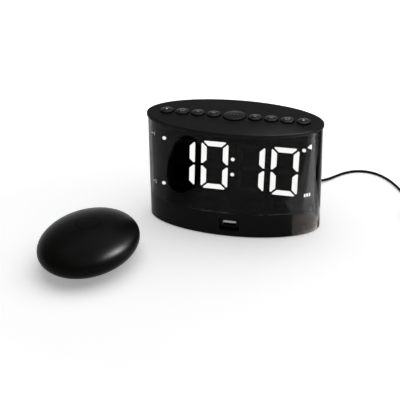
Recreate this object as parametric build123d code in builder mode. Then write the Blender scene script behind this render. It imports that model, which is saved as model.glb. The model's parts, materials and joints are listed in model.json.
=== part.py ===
"""Bed shaker alarm clock: an oval table clock, its cordless shaker pebble and its mains lead.

Millimetres, +Z up. The origin is on the table under the middle of the clock, and the clock faces -Y.
"""
import math
import os

from build123d import *

os.makedirs("parts", exist_ok=True)

# Clock case: an oval cylinder with a cover that overhangs it
case_width = 152.0
case_depth = 71.0
wall = 2.4
foot_stand = 0.8
seam_z = 22.5
seam_chamfer = 0.2
cover_top_z = 97.5
cover_thickness = 3.0
cover_overhang = 0.9
cover_top_radius = 1.0
cover_under_radius = 0.7
skirt_depth = 2.8
skirt_thickness = 1.6
lens_edge_y = -9.0
lens_joint_gap = 0.15
fit_gap = 0.15
overlap = 0.5

# Floor of the case
plate_thickness = 2.2
ledge_width = 1.5
ledge_height = 1.5
foot_ring_end_inset = 18.0
foot_ring_side_inset = 10.5
foot_ring_band = 4.5
foot_ring_sink = 0.8

# Screws that hold the case together
case_screw_radius = 1.3
case_screw_length = 11.0
case_head_radius = 2.8
case_head_height = 1.0
case_head_sink = 1.2
screw_gap = 0.05
screw_hole_gap = 0.2
head_gap = 0.3
post_radius = 3.5
post_inset = 8.6
post_y = 5.0
boss_radius = 5.2
boss_end_inset = 22.0
boss_inset = 4.4
boss_top_z = 16.0
pilot_extra = 1.0

# Screws that hold the circuit boards
board_screw_radius = 0.9
board_screw_length = 6.0
board_head_radius = 1.9
board_head_height = 1.0

# Circuit boards
board_thickness = 1.6
main_board_top_z = 8.4
main_board_cell_gap = 16.0
main_board_end_inset = 28.0
main_board_front_inset = 15.5
main_board_rear_inset = 12.5
main_post_radius = 2.5
main_screw_inset = 4.0
main_screw_usb_gap = 3.0
main_screw_jack_inset = 1.0
radio_board_end_inset = 1.0
radio_board_width = 18.0
radio_board_rear_inset = 9.0
radio_board_height = 12.0
radio_board_thickness = 1.0
antenna_length = 42.0
antenna_radius = 0.5
antenna_height = 9.0

# Seven-segment display behind the lens
mask_front_y = -8.0
mask_depth = 6.0
mask_side_gap = 6.0
mask_bottom_gap = 0.5
mask_top_gap = 1.4
digit_top_margin = 6.75
digit_bottom_margin = 7.95
digit_side_margin = 12.95
digit_spacing = 5.5
colon_spacing = 8.1
segment_width = 4.75
segment_gap = 1.8
segment_middle_gap = 2.6
segment_corner = 3.0
segment_tip = 1.5
segment_fit = 0.05
segment_depth = 2.0
digit_slant = 2.0
dot_radius = 1.7
colon_spread = 14.5
indicator_inset = 9.2
indicator_drop = 1.9
led_length = 2.0
led_width = 1.2
led_height = 0.6
display_board_side_inset = 9.0
display_board_bottom_inset = 1.5
display_board_top_inset = 0.6
display_screw_x = 31.0
display_screw_inset = 2.2

# Ribs behind the display
rib_thickness = 4.0

# Push buttons in the cover, and the rubber mat and board under them
small_cap_spacing = 2.5
snooze_cap_radius = 9.35
cap_gap = 0.65
cap_flange = 1.1
cap_flange_height = 1.2
cap_flange_gap = 0.2
cap_side_rise = 1.4
cap_dome_rise = 0.7
cap_edge_radius = 0.45
small_stem_radius = 2.2
snooze_stem_radius = 3.2
button_first_x = 18.0
button_end_inset = 16.6
buttons_each_side = 4
key_board_drop = 8.3
key_board_end = 4.6
key_board_depth = 18.0
key_mat_thickness = 1.0
key_mat_inset = 1.0
key_dome_drop = 4.5
key_dome_spread = 2.2
key_dome_gap = 0.1
key_boss_radius = 2.2
key_boss_y = 6.4
key_boss_clearance = 0.4

# Flat cables between the boards
ribbon_thickness = 0.5
key_ribbon_jack_gap = 12.0
key_ribbon_inset = 0.3
key_ribbon_width = 12.0
display_ribbon_width = 16.0
display_ribbon_reach = 11.5

# Charging outlet in the front of the base
usb_x = 2.4
usb_width = 13.1
usb_height = 5.7
usb_length = 14.0
usb_sheet = 0.35
usb_pocket_width = 17.0
usb_pocket_height = 10.0
usb_pocket_radius = 1.4
usb_pocket_depth = 4.0
usb_pocket_flare = 1.0
usb_pad_side = 2.5
usb_pad_thickness = 2.0
usb_fit = 0.1
tongue_width = 11.1
tongue_thickness = 1.84
tongue_recess = 0.2
tongue_rise = 0.3
tongue_root = 3.0

# Power socket in the back of the base
jack_end_inset = 36.0
jack_z = 14.0
jack_width = 9.0
jack_length = 13.0
jack_rise = 5.4
jack_nose_radius = 3.9
jack_setback = 8.5
jack_nose_length = 3.0
jack_bore_radius = 2.85
jack_bore_depth = 9.7
jack_pin_radius = 1.0
jack_pin_setback = 1.0
jack_pad_width = 16.0
jack_pad_height = 14.0
jack_recess_radius = 6.0
jack_fit = 0.1

# Loudspeaker on the back of the case
speaker_lift = 1.5
speaker_seat_inset = 4.1
speaker_flange_radius = 18.5
speaker_flange_thickness = 2.0
speaker_seat_inner = 16.6
speaker_seat_outer = 19.5
speaker_mouth_radius = 15.4
speaker_floor_radius = 12.0
speaker_depth = 14.0
speaker_sheet = 1.0
cone_sheet = 0.5
cone_rim_radius = 16.2
cone_rim_band = 1.6
cone_depth = 9.0
cone_cap_radius = 4.0
magnet_radius = 11.0
magnet_height = 8.0
grille_hole_radius = 1.1
grille_rings = [(0.0, 1), (4.8, 6), (9.6, 12), (14.2, 18)]

# Back-up coin cell under a screwed door
cell_end_inset = 46.0
cell_radius = 10.0
cell_height = 3.2
cell_hole_gap = 1.0
holder_gap = 0.3
holder_wall = 2.1
holder_roof = 1.2
door_radius = 12.7
door_thickness = 1.6
door_gap = 0.3
door_tab_radius = 4.2
door_tab_offset = 15.0
door_screw_radius = 1.0
door_screw_length = 4.5
door_head_radius = 2.1
door_head_height = 0.8
door_boss_radius = 2.6
door_boss_height = 4.2

# Shaker pebble: an egg-shaped shell in two halves, drawn about its own middle and placed at the end
shaker_x = -101.9
shaker_y = -99.6
shaker_turn = -7.1
shaker_half_width = 40.3
shaker_half_length = 52.2
shaker_half_height = 18.0
shaker_wall = 2.2
shaker_floor_z = 5.0
shaker_lip_below = 5.0
shaker_lip_above = 2.0
shaker_lip_gap = 0.55
shaker_lip_thickness = 1.2
shaker_pad_thickness = 1.0
shaker_pad_inset = 0.7
shaker_screw_inset = 16.3
shaker_screw_y = 12.0
shaker_screw_radius = 1.0
shaker_screw_length = 10.0
shaker_head_radius = 2.1
shaker_head_height = 1.4
shaker_head_floor = 2.4
shaker_post_radius = 3.0
shaker_boss_radius = 3.6
shaker_boss_drop = 9.0

# Shaker button, its rubber dome and its board
shaker_cap_radius = 9.5
shaker_cap_gap = 0.35
shaker_cap_flange = 1.0
shaker_cap_flange_height = 1.2
shaker_cap_depth = 3.2
shaker_stem_radius = 2.5
shaker_key_board_drop = 4.8
shaker_key_board_width = 32.0
shaker_key_board_depth = 14.0
shaker_key_board_thickness = 1.2
shaker_key_post_x = 13.2
shaker_key_post_radius = 2.0
shaker_dome_height = 2.2
shaker_dome_spread = 2.0
shaker_dome_gap = 0.1

# Vibration motor with its off-centre weight
motor_floor_gap = 1.0
motor_roof_gap = 0.8
motor_rear_y = 11.0
motor_front_y = -14.0
motor_nose_radius = 3.0
motor_nose_length = 1.5
motor_bore_gap = 0.2
motor_bore_depth = 7.0
shaft_radius = 1.0
shaft_end_y = -27.0
weight_inset = 0.6
weight_near_y = -18.0
weight_far_y = -26.0
weight_hub_radius = 2.6
cradle_side = 1.0
cradle_length = 16.0
cradle_drop = 3.0
cradle_gap = 0.05

# Shaker electronics
shaker_rib_ys = [18.0, 34.0]
shaker_rib_width = 20.0
shaker_rib_thickness = 2.0
shaker_board_drop = 6.0
shaker_board_width = 20.0
shaker_board_near_y = 14.0
shaker_board_end_inset = 9.7
shaker_board_thickness = 1.6
cell_pack_width = 24.0
cell_pack_near_y = 15.0
cell_pack_length = 21.0
cell_pack_height = 7.0
charge_width = 9.0
charge_height = 3.2
charge_length = 8.3
charge_sheet = 0.4
charge_fit = 0.25

# Mains lead: plug, cord along its route on the table, wound rest and adapter
cord_radius = 1.25
plug_barrel_radius = 2.75
plug_barrel_length = 9.4
plug_bore_gap = 0.1
plug_grip_radius = 4.7
plug_grip_length = 13.0
plug_tail_radius = 2.1
plug_tail_length = 9.0
cord_straight = 18.0
cord_floor_z = cord_radius
coil_tie_thickness = 0.6
coil_tie_bite = 0.05
coil_tie_width = 5.0
coil_base_z = cord_radius + coil_tie_thickness - coil_tie_bite
coil_entry_x = 147.5
coil_entry_y = 39.7
coil_middle_radius = 14.0
coil_pitch = 3.0
coil_layer_rise = 3.0
coil_layers = 4
coil_quarters = 13
coil_climb_quarters = 2
coil_lead = 2 * cord_radius
cord_floor_points = [(61.7, 78.2), (90.8, 114.3), (121.2, 108.0)]
coil_approach = 24.5
fillet_share = 0.45
cord_tail_length = 18.0
adapter_width = 40.0
adapter_length = 58.0
adapter_height = 27.0
adapter_corner = 6.0
adapter_edge = 2.0
adapter_relief_length = 8.0
adapter_relief_root = 3.4
adapter_relief_tip = 2.1
adapter_neck_inset = 2.5
adapter_neck_depth = 13.6
adapter_neck_height = 5.0
adapter_neck_setback = 36.0
pin_radius = 2.0
pin_length = 19.0
pin_spacing = 19.0
pin_tip_radius = 1.2

# Values worked out from the sizes above
half_width = case_width / 2
half_depth = case_depth / 2
inner_half_width = half_width - wall
inner_half_depth = half_depth - wall
cover_under_z = cover_top_z - cover_thickness
plate_top_z = foot_stand + plate_thickness
foot_ring_half_width = half_width - foot_ring_end_inset
foot_ring_half_depth = half_depth - foot_ring_side_inset
post_x = inner_half_width - post_inset
boss_x = half_width - boss_end_inset
main_board_under_z = main_board_top_z - board_thickness
cell_x = cell_end_inset - half_width
main_board_left = cell_x + main_board_cell_gap
main_board_right = half_width - main_board_end_inset
main_board_front = main_board_front_inset - half_depth
main_board_rear = half_depth - main_board_rear_inset
radio_board_left = main_board_left + radio_board_end_inset
radio_board_y = main_board_rear - radio_board_rear_inset
usb_z = main_board_top_z + usb_height / 2
usb_mouth_y = usb_pocket_depth - half_depth
usb_pad_rear_y = usb_mouth_y + usb_pad_thickness
usb_rear_y = usb_mouth_y + usb_length
main_screw_places = [
    (main_board_left + main_screw_inset, usb_rear_y + main_screw_usb_gap),
    (main_board_right - main_screw_inset, usb_rear_y + main_screw_usb_gap),
    (main_board_left + main_screw_inset, main_board_rear - main_screw_inset),
    (main_board_right - main_screw_jack_inset, main_board_rear - main_screw_inset),
]
jack_x = half_width - jack_end_inset
jack_face_y = half_depth - jack_setback
jack_rear_y = jack_face_y - jack_nose_length
key_ribbon_x = jack_x - key_ribbon_jack_gap
key_ribbon_y = key_board_depth / 2 - key_ribbon_inset
speaker_z = (seam_z + cover_under_z) / 2 + speaker_lift
speaker_seat_y = inner_half_depth - speaker_seat_inset
key_board_top_z = cover_under_z - key_board_drop
key_board_under_z = key_board_top_z - board_thickness
key_dome_top_z = cover_under_z - key_dome_drop
flange_top_z = cover_under_z - cap_flange_gap
button_pitch = (half_width - button_end_inset - button_first_x) / (buttons_each_side - 1)
small_cap_radius = (button_pitch - small_cap_spacing) / 2
small_button_xs = [button_first_x + i * button_pitch for i in range(buttons_each_side)]
key_board_width = 2 * (small_button_xs[-1] + key_board_end)
button_xs = [-x for x in reversed(small_button_xs)] + [0.0] + small_button_xs
key_boss_xs = [button_first_x + (i + 0.5) * button_pitch for i in range(0, buttons_each_side, 2)]
key_boss_places = [
    (side * x, side * row * key_boss_y)
    for row, x in zip((1, -1), key_boss_xs)
    for side in (-1, 1)
]
boss_y = -(inner_half_depth - boss_inset) * math.sqrt(1 - (boss_x / (inner_half_width - boss_inset)) ** 2)
case_screw_places = [(-post_x, post_y), (post_x, post_y), (-boss_x, boss_y), (boss_x, boss_y)]
case_seat_z = foot_stand + case_head_sink
mask_rear_y = mask_front_y + mask_depth
mask_width = case_width - 2 * mask_side_gap
mask_bottom_z = seam_z + mask_bottom_gap
mask_top_z = key_board_under_z - mask_top_gap
display_board_rear_y = mask_rear_y + board_thickness
display_board_width = mask_width - 2 * display_board_side_inset
display_board_bottom_z = mask_bottom_z + display_board_bottom_inset
display_board_top_z = mask_top_z - display_board_top_inset
display_ribbon_top_z = display_board_bottom_z + display_ribbon_reach
slant = math.tan(math.radians(digit_slant))
digit_height = mask_top_z - mask_bottom_z - digit_top_margin - digit_bottom_margin
digit_middle_z = mask_bottom_z + digit_bottom_margin + digit_height / 2
digit_width = (mask_width / 2 - digit_side_margin - digit_spacing - colon_spacing / 2) / 2
digit_inner_x = (colon_spacing + digit_width) / 2
digit_pitch = digit_width + digit_spacing
indicator_x = mask_width / 2 - indicator_inset
indicator_spread = digit_height - indicator_drop
digit_xs = [-digit_inner_x - digit_pitch, -digit_inner_x, digit_inner_x, digit_inner_x + digit_pitch]
digits_shown = "1010"
letters_lit = {"1": "bc", "0": "abcdef"}
front_plane = Plane.XZ.offset(-mask_front_y)
board_plane = Plane.XZ.offset(-mask_rear_y)
speaker_plane = Plane(origin=(0, 0, speaker_z), x_dir=(0, 1, 0), z_dir=(1, 0, 0))
speaker_axis = Axis((0, 0, speaker_z), (0, 1, 0))
jack_plane = Plane(origin=(jack_x, 0, jack_z), x_dir=(0, 1, 0), z_dir=(1, 0, 0))
jack_axis = Axis((jack_x, 0, jack_z), (0, 1, 0))
shaker_place = Location((shaker_x, shaker_y, 0), (0, 0, shaker_turn))
shaker_screw_x = shaker_half_width - shaker_screw_inset
shaker_screw_places = [(x * shaker_screw_x, y * shaker_screw_y) for x in (-1, 1) for y in (-1, 1)]
shaker_boss_top_z = shaker_half_height - shaker_boss_drop
shaker_head_seat_z = shaker_boss_top_z - shaker_head_floor
shaker_cap_flange_top_z = 2 * shaker_half_height - shaker_cap_depth
shaker_key_board_top_z = shaker_cap_flange_top_z - shaker_key_board_drop
motor_bottom_z = shaker_floor_z + motor_floor_gap
motor_top_z = shaker_key_board_top_z - shaker_key_board_thickness - motor_roof_gap
motor_axis_z = (motor_bottom_z + motor_top_z) / 2
motor_radius = (motor_top_z - motor_bottom_z) / 2
weight_radius = motor_radius - weight_inset
cradle_width = 2 * (motor_radius + cradle_side)
cradle_top_z = motor_axis_z - cradle_drop
shaker_board_bottom_z = shaker_half_height - shaker_board_drop
shaker_board_far_y = shaker_half_length - shaker_board_end_inset
cord_exit = (jack_x, jack_face_y + plug_grip_length + plug_tail_length, jack_z)
cord_points = [
    cord_exit,
    (jack_x, cord_exit[1] + cord_straight, jack_z),
    *[(x, y, cord_floor_z) for x, y in cord_floor_points],
    (coil_entry_x, coil_entry_y + coil_lead + coil_approach, coil_base_z),
    (coil_entry_x, coil_entry_y + coil_lead, coil_base_z),
]
adapter_neck_width = adapter_width - 2 * adapter_neck_inset
coil_outer_radius = coil_middle_radius + coil_pitch * coil_quarters / 8
coil_lead_angle = math.atan(coil_pitch / (2 * math.pi * coil_outer_radius))
coil_x = coil_entry_x + coil_outer_radius * math.cos(coil_lead_angle)
coil_y = coil_entry_y - coil_outer_radius * math.sin(coil_lead_angle)


def y_plane(y):
    """Upright plane at a depth y, drawn from the front, with X to the right and Z up."""
    return Plane.XZ.offset(-y)


def segment_points(letter, inset):
    """Outline of one display segment about its digit's middle, drawn in by an inset."""
    across = digit_width / 2 - inset
    up = digit_height / 2 - inset
    width = segment_width - 2 * inset
    half_gap = segment_gap / 2 + inset
    half_middle = segment_middle_gap / 2 + inset
    mitre = half_gap * math.sqrt(2)
    corner = segment_corner - inset * (2 - math.sqrt(2))
    tip = segment_tip - inset * math.sqrt(2)
    clip_far = (corner + mitre) / 2
    clip_near = (corner - mitre) / 2
    if letter in "ad":
        points = [
            (corner - across, up),
            (across - corner, up),
            (across - clip_far, up - clip_near),
            (across - width - mitre, up - width),
            (width + mitre - across, up - width),
            (clip_far - across, up - clip_near),
        ]
    elif letter in "bcef":
        points = [
            (across, up - corner),
            (across, half_middle),
            (across - tip, half_middle),
            (across - width, half_middle + width - tip),
            (across - width, up - width - mitre),
            (across - clip_near, up - clip_far),
        ]
    else:
        reach = across - width / 2 - half_gap
        points = [
            (reach, 0),
            (reach - width / 2, width / 2),
            (width / 2 - reach, width / 2),
            (-reach, 0),
            (width / 2 - reach, -width / 2),
            (reach - width / 2, -width / 2),
        ]
    flip_x = -1 if letter in "ef" else 1
    flip_z = -1 if letter in "cde" else 1
    return [(flip_x * x, flip_z * z) for x, z in points]


def on_display(x, z):
    """Place of a point of the slanted display, given from the display's middle height."""
    return (x + z * slant, digit_middle_z + z)


def segments(lit):
    """Digit places and letters of the segments that are lit, or that are dark."""
    chosen = []
    for digit_x, figure in zip(digit_xs, digits_shown):
        for letter in "abcdefg":
            if (letter in letters_lit[figure]) == lit:
                chosen.append((digit_x, letter))
    return chosen


def placed_segment(digit_x, letter, inset):
    """Outline of one segment in its place on the display."""
    return [on_display(digit_x + x, z) for x, z in segment_points(letter, inset)]


def egg(depth):
    """Solid egg whose surface lies a depth under the shaker's outer surface."""
    half_height = shaker_half_height - depth
    with BuildPart() as solid:
        with Locations((0, 0, shaker_half_height)):
            Sphere(half_height)
        scale(
            by=((shaker_half_width - depth) / half_height, (shaker_half_length - depth) / half_height, 1.0),
            about=(0, 0, shaker_half_height),
        )
    return solid.part


dot_places = [
    on_display(0, colon_spread / 2),
    on_display(0, -colon_spread / 2),
    on_display(-indicator_x, indicator_spread / 2),
    on_display(-indicator_x, -indicator_spread / 2),
    on_display(indicator_x, indicator_spread / 2),
]

# Base band: the oval wall of the base, with the outlet's pocket, the socket's recess and two screw bosses
with BuildPart() as base_band:
    with BuildSketch(Plane.XY.offset(foot_stand)):
        Ellipse(half_width, half_depth)
        Ellipse(inner_half_width, inner_half_depth, mode=Mode.SUBTRACT)
    extrude(amount=seam_z - foot_stand)
    chamfer(base_band.edges().group_by(Axis.Z)[-1].sort_by(Edge.length)[-1:], length=seam_chamfer)
    with BuildSketch(Plane.XY.offset(plate_top_z)):
        Ellipse(inner_half_width + overlap, inner_half_depth + overlap)
        Ellipse(inner_half_width - ledge_width, inner_half_depth - ledge_width, mode=Mode.SUBTRACT)
    extrude(amount=ledge_height)
    with BuildSketch(Plane.XY.offset(plate_top_z)):
        with Locations((-boss_x, boss_y), (boss_x, boss_y)):
            Circle(boss_radius)
        Ellipse(half_width - wall / 2, half_depth - wall / 2, mode=Mode.INTERSECT)
    extrude(amount=boss_top_z - plate_top_z)
    with BuildSketch(Plane.XY.offset(plate_top_z)):
        with Locations((-boss_x, boss_y), (boss_x, boss_y)):
            Circle(case_screw_radius + screw_gap)
    extrude(amount=case_screw_length + pilot_extra - plate_thickness + case_head_sink, mode=Mode.SUBTRACT)
    with BuildSketch(Plane.XY.offset(usb_z - usb_pocket_height / 2 - usb_pad_side)):
        with Locations((usb_x, usb_pad_rear_y)):
            Rectangle(usb_pocket_width + 2 * usb_pad_side, half_depth, align=(Align.CENTER, Align.MAX))
        Ellipse(half_width - wall / 2, half_depth - wall / 2, mode=Mode.INTERSECT)
    extrude(amount=usb_pocket_height + 2 * usb_pad_side)
    with BuildSketch(y_plane(usb_mouth_y)):
        with Locations((usb_x, usb_z)):
            RectangleRounded(usb_pocket_width, usb_pocket_height, usb_pocket_radius)
    extrude(amount=half_depth, mode=Mode.SUBTRACT)
    with BuildSketch(y_plane(-half_depth)):
        with Locations((usb_x, usb_z)):
            RectangleRounded(
                usb_pocket_width + 2 * usb_pocket_flare,
                usb_pocket_height + 2 * usb_pocket_flare,
                usb_pocket_radius + usb_pocket_flare,
            )
    extrude(amount=-usb_pocket_flare, taper=45, mode=Mode.SUBTRACT)
    with BuildSketch(y_plane(usb_pad_rear_y)):
        with Locations((usb_x, usb_z)):
            Rectangle(usb_width + 2 * usb_fit, usb_height + 2 * usb_fit)
    extrude(amount=2 * usb_pad_thickness, mode=Mode.SUBTRACT)
    with BuildSketch(Plane.XY.offset(jack_z - jack_pad_height / 2)):
        with Locations((jack_x, jack_rear_y)):
            Rectangle(jack_pad_width, half_depth, align=(Align.CENTER, Align.MIN))
        Ellipse(half_width - wall / 2, half_depth - wall / 2, mode=Mode.INTERSECT)
    extrude(amount=jack_pad_height)
    with BuildSketch(y_plane(jack_face_y)):
        with Locations((jack_x, jack_z)):
            Circle(jack_recess_radius)
    extrude(amount=-half_depth, mode=Mode.SUBTRACT)
    with BuildSketch(y_plane(jack_rear_y)):
        with Locations((jack_x, jack_z)):
            Circle(jack_nose_radius + jack_fit)
    extrude(amount=-half_depth, mode=Mode.SUBTRACT)
base_band.part.label = "base_band"
export_step(base_band.part, "parts/base_band.step")

# Bottom plate: closes the base, carries the main board and the coin cell's hatch
with BuildPart() as bottom_plate:
    with BuildSketch(Plane.XY.offset(foot_stand)):
        Ellipse(inner_half_width - fit_gap, inner_half_depth - fit_gap)
    extrude(amount=plate_thickness)
    with BuildSketch(Plane.XY.offset(plate_top_z)):
        with Locations(*main_screw_places):
            Circle(main_post_radius)
    extrude(amount=main_board_under_z - plate_top_z)
    with BuildSketch(Plane.XY.offset(plate_top_z)):
        with Locations((cell_x - door_tab_offset, 0)):
            Circle(door_boss_radius)
    extrude(amount=door_boss_height)
    with BuildSketch(Plane.XY.offset(main_board_top_z - board_screw_length)):
        with Locations(*main_screw_places):
            Circle(board_screw_radius + screw_gap)
    extrude(amount=board_screw_length, mode=Mode.SUBTRACT)
    with BuildSketch(Plane.XY.offset(foot_stand)):
        with Locations(*case_screw_places):
            Circle(case_screw_radius + screw_hole_gap)
        with Locations((cell_x, 0)):
            Circle(cell_radius + cell_hole_gap)
    extrude(amount=plate_thickness, mode=Mode.SUBTRACT)
    with BuildSketch(Plane.XY.offset(foot_stand)):
        with Locations(*case_screw_places):
            Circle(case_head_radius + head_gap)
    extrude(amount=case_head_sink, mode=Mode.SUBTRACT)
    with BuildSketch(Plane.XY.offset(foot_stand)):
        with Locations((cell_x, 0)):
            Circle(door_radius + door_gap)
        with Locations((cell_x - door_tab_offset, 0)):
            Circle(door_tab_radius + door_gap)
        with Locations((cell_x - door_tab_offset / 2, 0)):
            Rectangle(door_tab_offset, 2 * (door_tab_radius + door_gap))
    extrude(amount=door_thickness, mode=Mode.SUBTRACT)
    with BuildSketch(Plane.XY.offset(foot_stand)):
        with Locations((cell_x - door_tab_offset, 0)):
            Circle(door_screw_radius + screw_gap)
    extrude(amount=door_thickness + door_screw_length, mode=Mode.SUBTRACT)
    with BuildSketch(Plane.XY.offset(foot_stand)):
        Ellipse(foot_ring_half_width + fit_gap, foot_ring_half_depth + fit_gap)
        Ellipse(
            foot_ring_half_width - foot_ring_band - fit_gap,
            foot_ring_half_depth - foot_ring_band - fit_gap,
            mode=Mode.SUBTRACT,
        )
    extrude(amount=foot_ring_sink, mode=Mode.SUBTRACT)
bottom_plate.part.label = "bottom_plate"
export_step(bottom_plate.part, "parts/bottom_plate.step")

# Foot ring: the oval rubber ring that the clock stands on
with BuildPart() as foot_ring:
    with BuildSketch():
        Ellipse(foot_ring_half_width, foot_ring_half_depth)
        Ellipse(
            foot_ring_half_width - foot_ring_band,
            foot_ring_half_depth - foot_ring_band,
            mode=Mode.SUBTRACT,
        )
    extrude(amount=foot_stand + foot_ring_sink)
foot_ring.part.label = "foot_ring"
export_step(foot_ring.part, "parts/foot_ring.step")

# Case screws: four alike, driven from below
with BuildPart() as case_screws:
    with BuildSketch(Plane.XY.offset(case_seat_z - case_head_height)):
        with Locations(*case_screw_places):
            Circle(case_head_radius)
    extrude(amount=case_head_height)
    with BuildSketch(Plane.XY.offset(case_seat_z)):
        with Locations(*case_screw_places):
            Circle(case_screw_radius)
    extrude(amount=case_screw_length)
case_screws.part.label = "case_screws"
export_step(case_screws.part, "parts/case_screws.step")

# Battery door, its screw, the coin cell and the holder over it
with BuildPart() as battery_door:
    with BuildSketch(Plane.XY.offset(foot_stand)):
        with Locations((cell_x, 0)):
            Circle(door_radius)
        with Locations((cell_x - door_tab_offset, 0)):
            Circle(door_tab_radius)
        with Locations((cell_x - door_tab_offset / 2, 0)):
            Rectangle(door_tab_offset, 2 * door_tab_radius)
    extrude(amount=door_thickness)
    with BuildSketch(Plane.XY.offset(foot_stand)):
        with Locations((cell_x - door_tab_offset, 0)):
            Circle(door_head_radius + screw_hole_gap)
    extrude(amount=door_head_height, mode=Mode.SUBTRACT)
    with BuildSketch(Plane.XY.offset(foot_stand)):
        with Locations((cell_x - door_tab_offset, 0)):
            Circle(door_screw_radius + screw_hole_gap)
    extrude(amount=door_thickness, mode=Mode.SUBTRACT)
battery_door.part.label = "battery_door"
export_step(battery_door.part, "parts/battery_door.step")

with BuildPart() as door_screw:
    with BuildSketch(Plane.XY.offset(foot_stand)):
        with Locations((cell_x - door_tab_offset, 0)):
            Circle(door_head_radius)
    extrude(amount=door_head_height)
    with BuildSketch(Plane.XY.offset(foot_stand)):
        with Locations((cell_x - door_tab_offset, 0)):
            Circle(door_screw_radius)
    extrude(amount=door_head_height + door_screw_length)
door_screw.part.label = "door_screw"
export_step(door_screw.part, "parts/door_screw.step")

with BuildPart() as coin_cell:
    with BuildSketch(Plane.XY.offset(foot_stand + door_thickness)):
        with Locations((cell_x, 0)):
            Circle(cell_radius)
    extrude(amount=cell_height)
coin_cell.part.label = "coin_cell"
export_step(coin_cell.part, "parts/coin_cell.step")

cell_top_z = foot_stand + door_thickness + cell_height
with BuildPart() as cell_holder:
    with BuildSketch(Plane.XY.offset(plate_top_z)):
        with Locations((cell_x, 0)):
            Circle(cell_radius + holder_gap + holder_wall)
    extrude(amount=cell_top_z + holder_roof - plate_top_z)
    with BuildSketch(Plane.XY.offset(plate_top_z)):
        with Locations((cell_x, 0)):
            Circle(cell_radius + holder_gap)
    extrude(amount=cell_top_z - plate_top_z, mode=Mode.SUBTRACT)
cell_holder.part.label = "cell_holder"
export_step(cell_holder.part, "parts/cell_holder.step")

# Front lens: the smoked front half of the case
with BuildPart() as front_lens:
    with BuildSketch(Plane.XY.offset(seam_z)):
        Ellipse(half_width, half_depth)
        Ellipse(inner_half_width, inner_half_depth, mode=Mode.SUBTRACT)
        with Locations((0, lens_edge_y)):
            Rectangle(case_width, case_depth, align=(Align.CENTER, Align.MAX), mode=Mode.INTERSECT)
    extrude(amount=cover_under_z - seam_z)
front_lens.part.label = "front_lens"
export_step(front_lens.part, "parts/front_lens.step")

# Rear housing: the back half of the case, with ribs, screw posts, speaker seat and sound holes
with BuildPart() as rear_housing:
    with BuildSketch(Plane.XY.offset(seam_z)):
        Ellipse(half_width, half_depth)
        Ellipse(inner_half_width, inner_half_depth, mode=Mode.SUBTRACT)
        with Locations((0, lens_edge_y + lens_joint_gap)):
            Rectangle(case_width, case_depth, align=(Align.CENTER, Align.MIN), mode=Mode.INTERSECT)
    extrude(amount=cover_under_z - seam_z)
    with BuildSketch(Plane.XY.offset(mask_bottom_z)):
        with Locations((-post_x, mask_rear_y), (post_x, mask_rear_y)):
            Rectangle(rib_thickness, half_depth, align=(Align.CENTER, Align.MIN))
        Ellipse(half_width - wall / 2, half_depth - wall / 2, mode=Mode.INTERSECT)
    extrude(amount=mask_top_z - mask_bottom_z)
    with BuildSketch(Plane.XY.offset(plate_top_z)):
        with Locations((-post_x, post_y), (post_x, post_y)):
            Circle(post_radius)
    extrude(amount=mask_top_z - plate_top_z)
    with BuildSketch(Plane.XY.offset(plate_top_z)):
        with Locations((-post_x, post_y), (post_x, post_y)):
            Circle(case_screw_radius + screw_gap)
    extrude(amount=case_screw_length + pilot_extra - plate_thickness + case_head_sink, mode=Mode.SUBTRACT)
    with BuildSketch(y_plane(speaker_seat_y)):
        with Locations((0, speaker_z)):
            Circle(speaker_seat_outer)
            Circle(speaker_seat_inner, mode=Mode.SUBTRACT)
    extrude(amount=speaker_seat_y - half_depth + wall - overlap)
    with BuildSketch(y_plane(half_depth)):
        for ring_radius, hole_count in grille_rings:
            with Locations((0, speaker_z)):
                with PolarLocations(ring_radius, hole_count):
                    Circle(grille_hole_radius)
    extrude(amount=half_depth - speaker_seat_y, mode=Mode.SUBTRACT)
rear_housing.part.label = "rear_housing"
export_step(rear_housing.part, "parts/rear_housing.step")

# Top cover: overhangs the case, with a skirt inside it, the button holes and the key board's bosses
with BuildPart() as top_cover:
    with BuildSketch(Plane.XY.offset(cover_under_z)):
        Ellipse(half_width + cover_overhang, half_depth + cover_overhang)
    extrude(amount=cover_thickness)
    fillet(top_cover.edges().group_by(Axis.Z)[-1], radius=cover_top_radius)
    fillet(top_cover.edges().group_by(Axis.Z)[0], radius=cover_under_radius)
    with BuildSketch(Plane.XY.offset(cover_under_z + overlap)):
        Ellipse(inner_half_width - fit_gap, inner_half_depth - fit_gap)
        Ellipse(
            inner_half_width - fit_gap - skirt_thickness,
            inner_half_depth - fit_gap - skirt_thickness,
            mode=Mode.SUBTRACT,
        )
    extrude(amount=-skirt_depth - overlap)
    with BuildSketch(Plane.XY.offset(key_board_top_z)):
        with Locations(*key_boss_places):
            Circle(key_boss_radius)
    extrude(amount=cover_under_z + overlap - key_board_top_z)
    with BuildSketch(Plane.XY.offset(key_board_top_z)):
        with Locations(*key_boss_places):
            Circle(board_screw_radius + screw_gap)
    extrude(amount=board_screw_length, mode=Mode.SUBTRACT)
    with BuildSketch(Plane.XY.offset(cover_under_z)):
        Circle(snooze_cap_radius + cap_gap)
        for x in small_button_xs:
            with Locations((-x, 0), (x, 0)):
                Circle(small_cap_radius + cap_gap)
    extrude(amount=cover_thickness, mode=Mode.SUBTRACT)
top_cover.part.label = "top_cover"
export_step(top_cover.part, "parts/top_cover.step")

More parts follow.
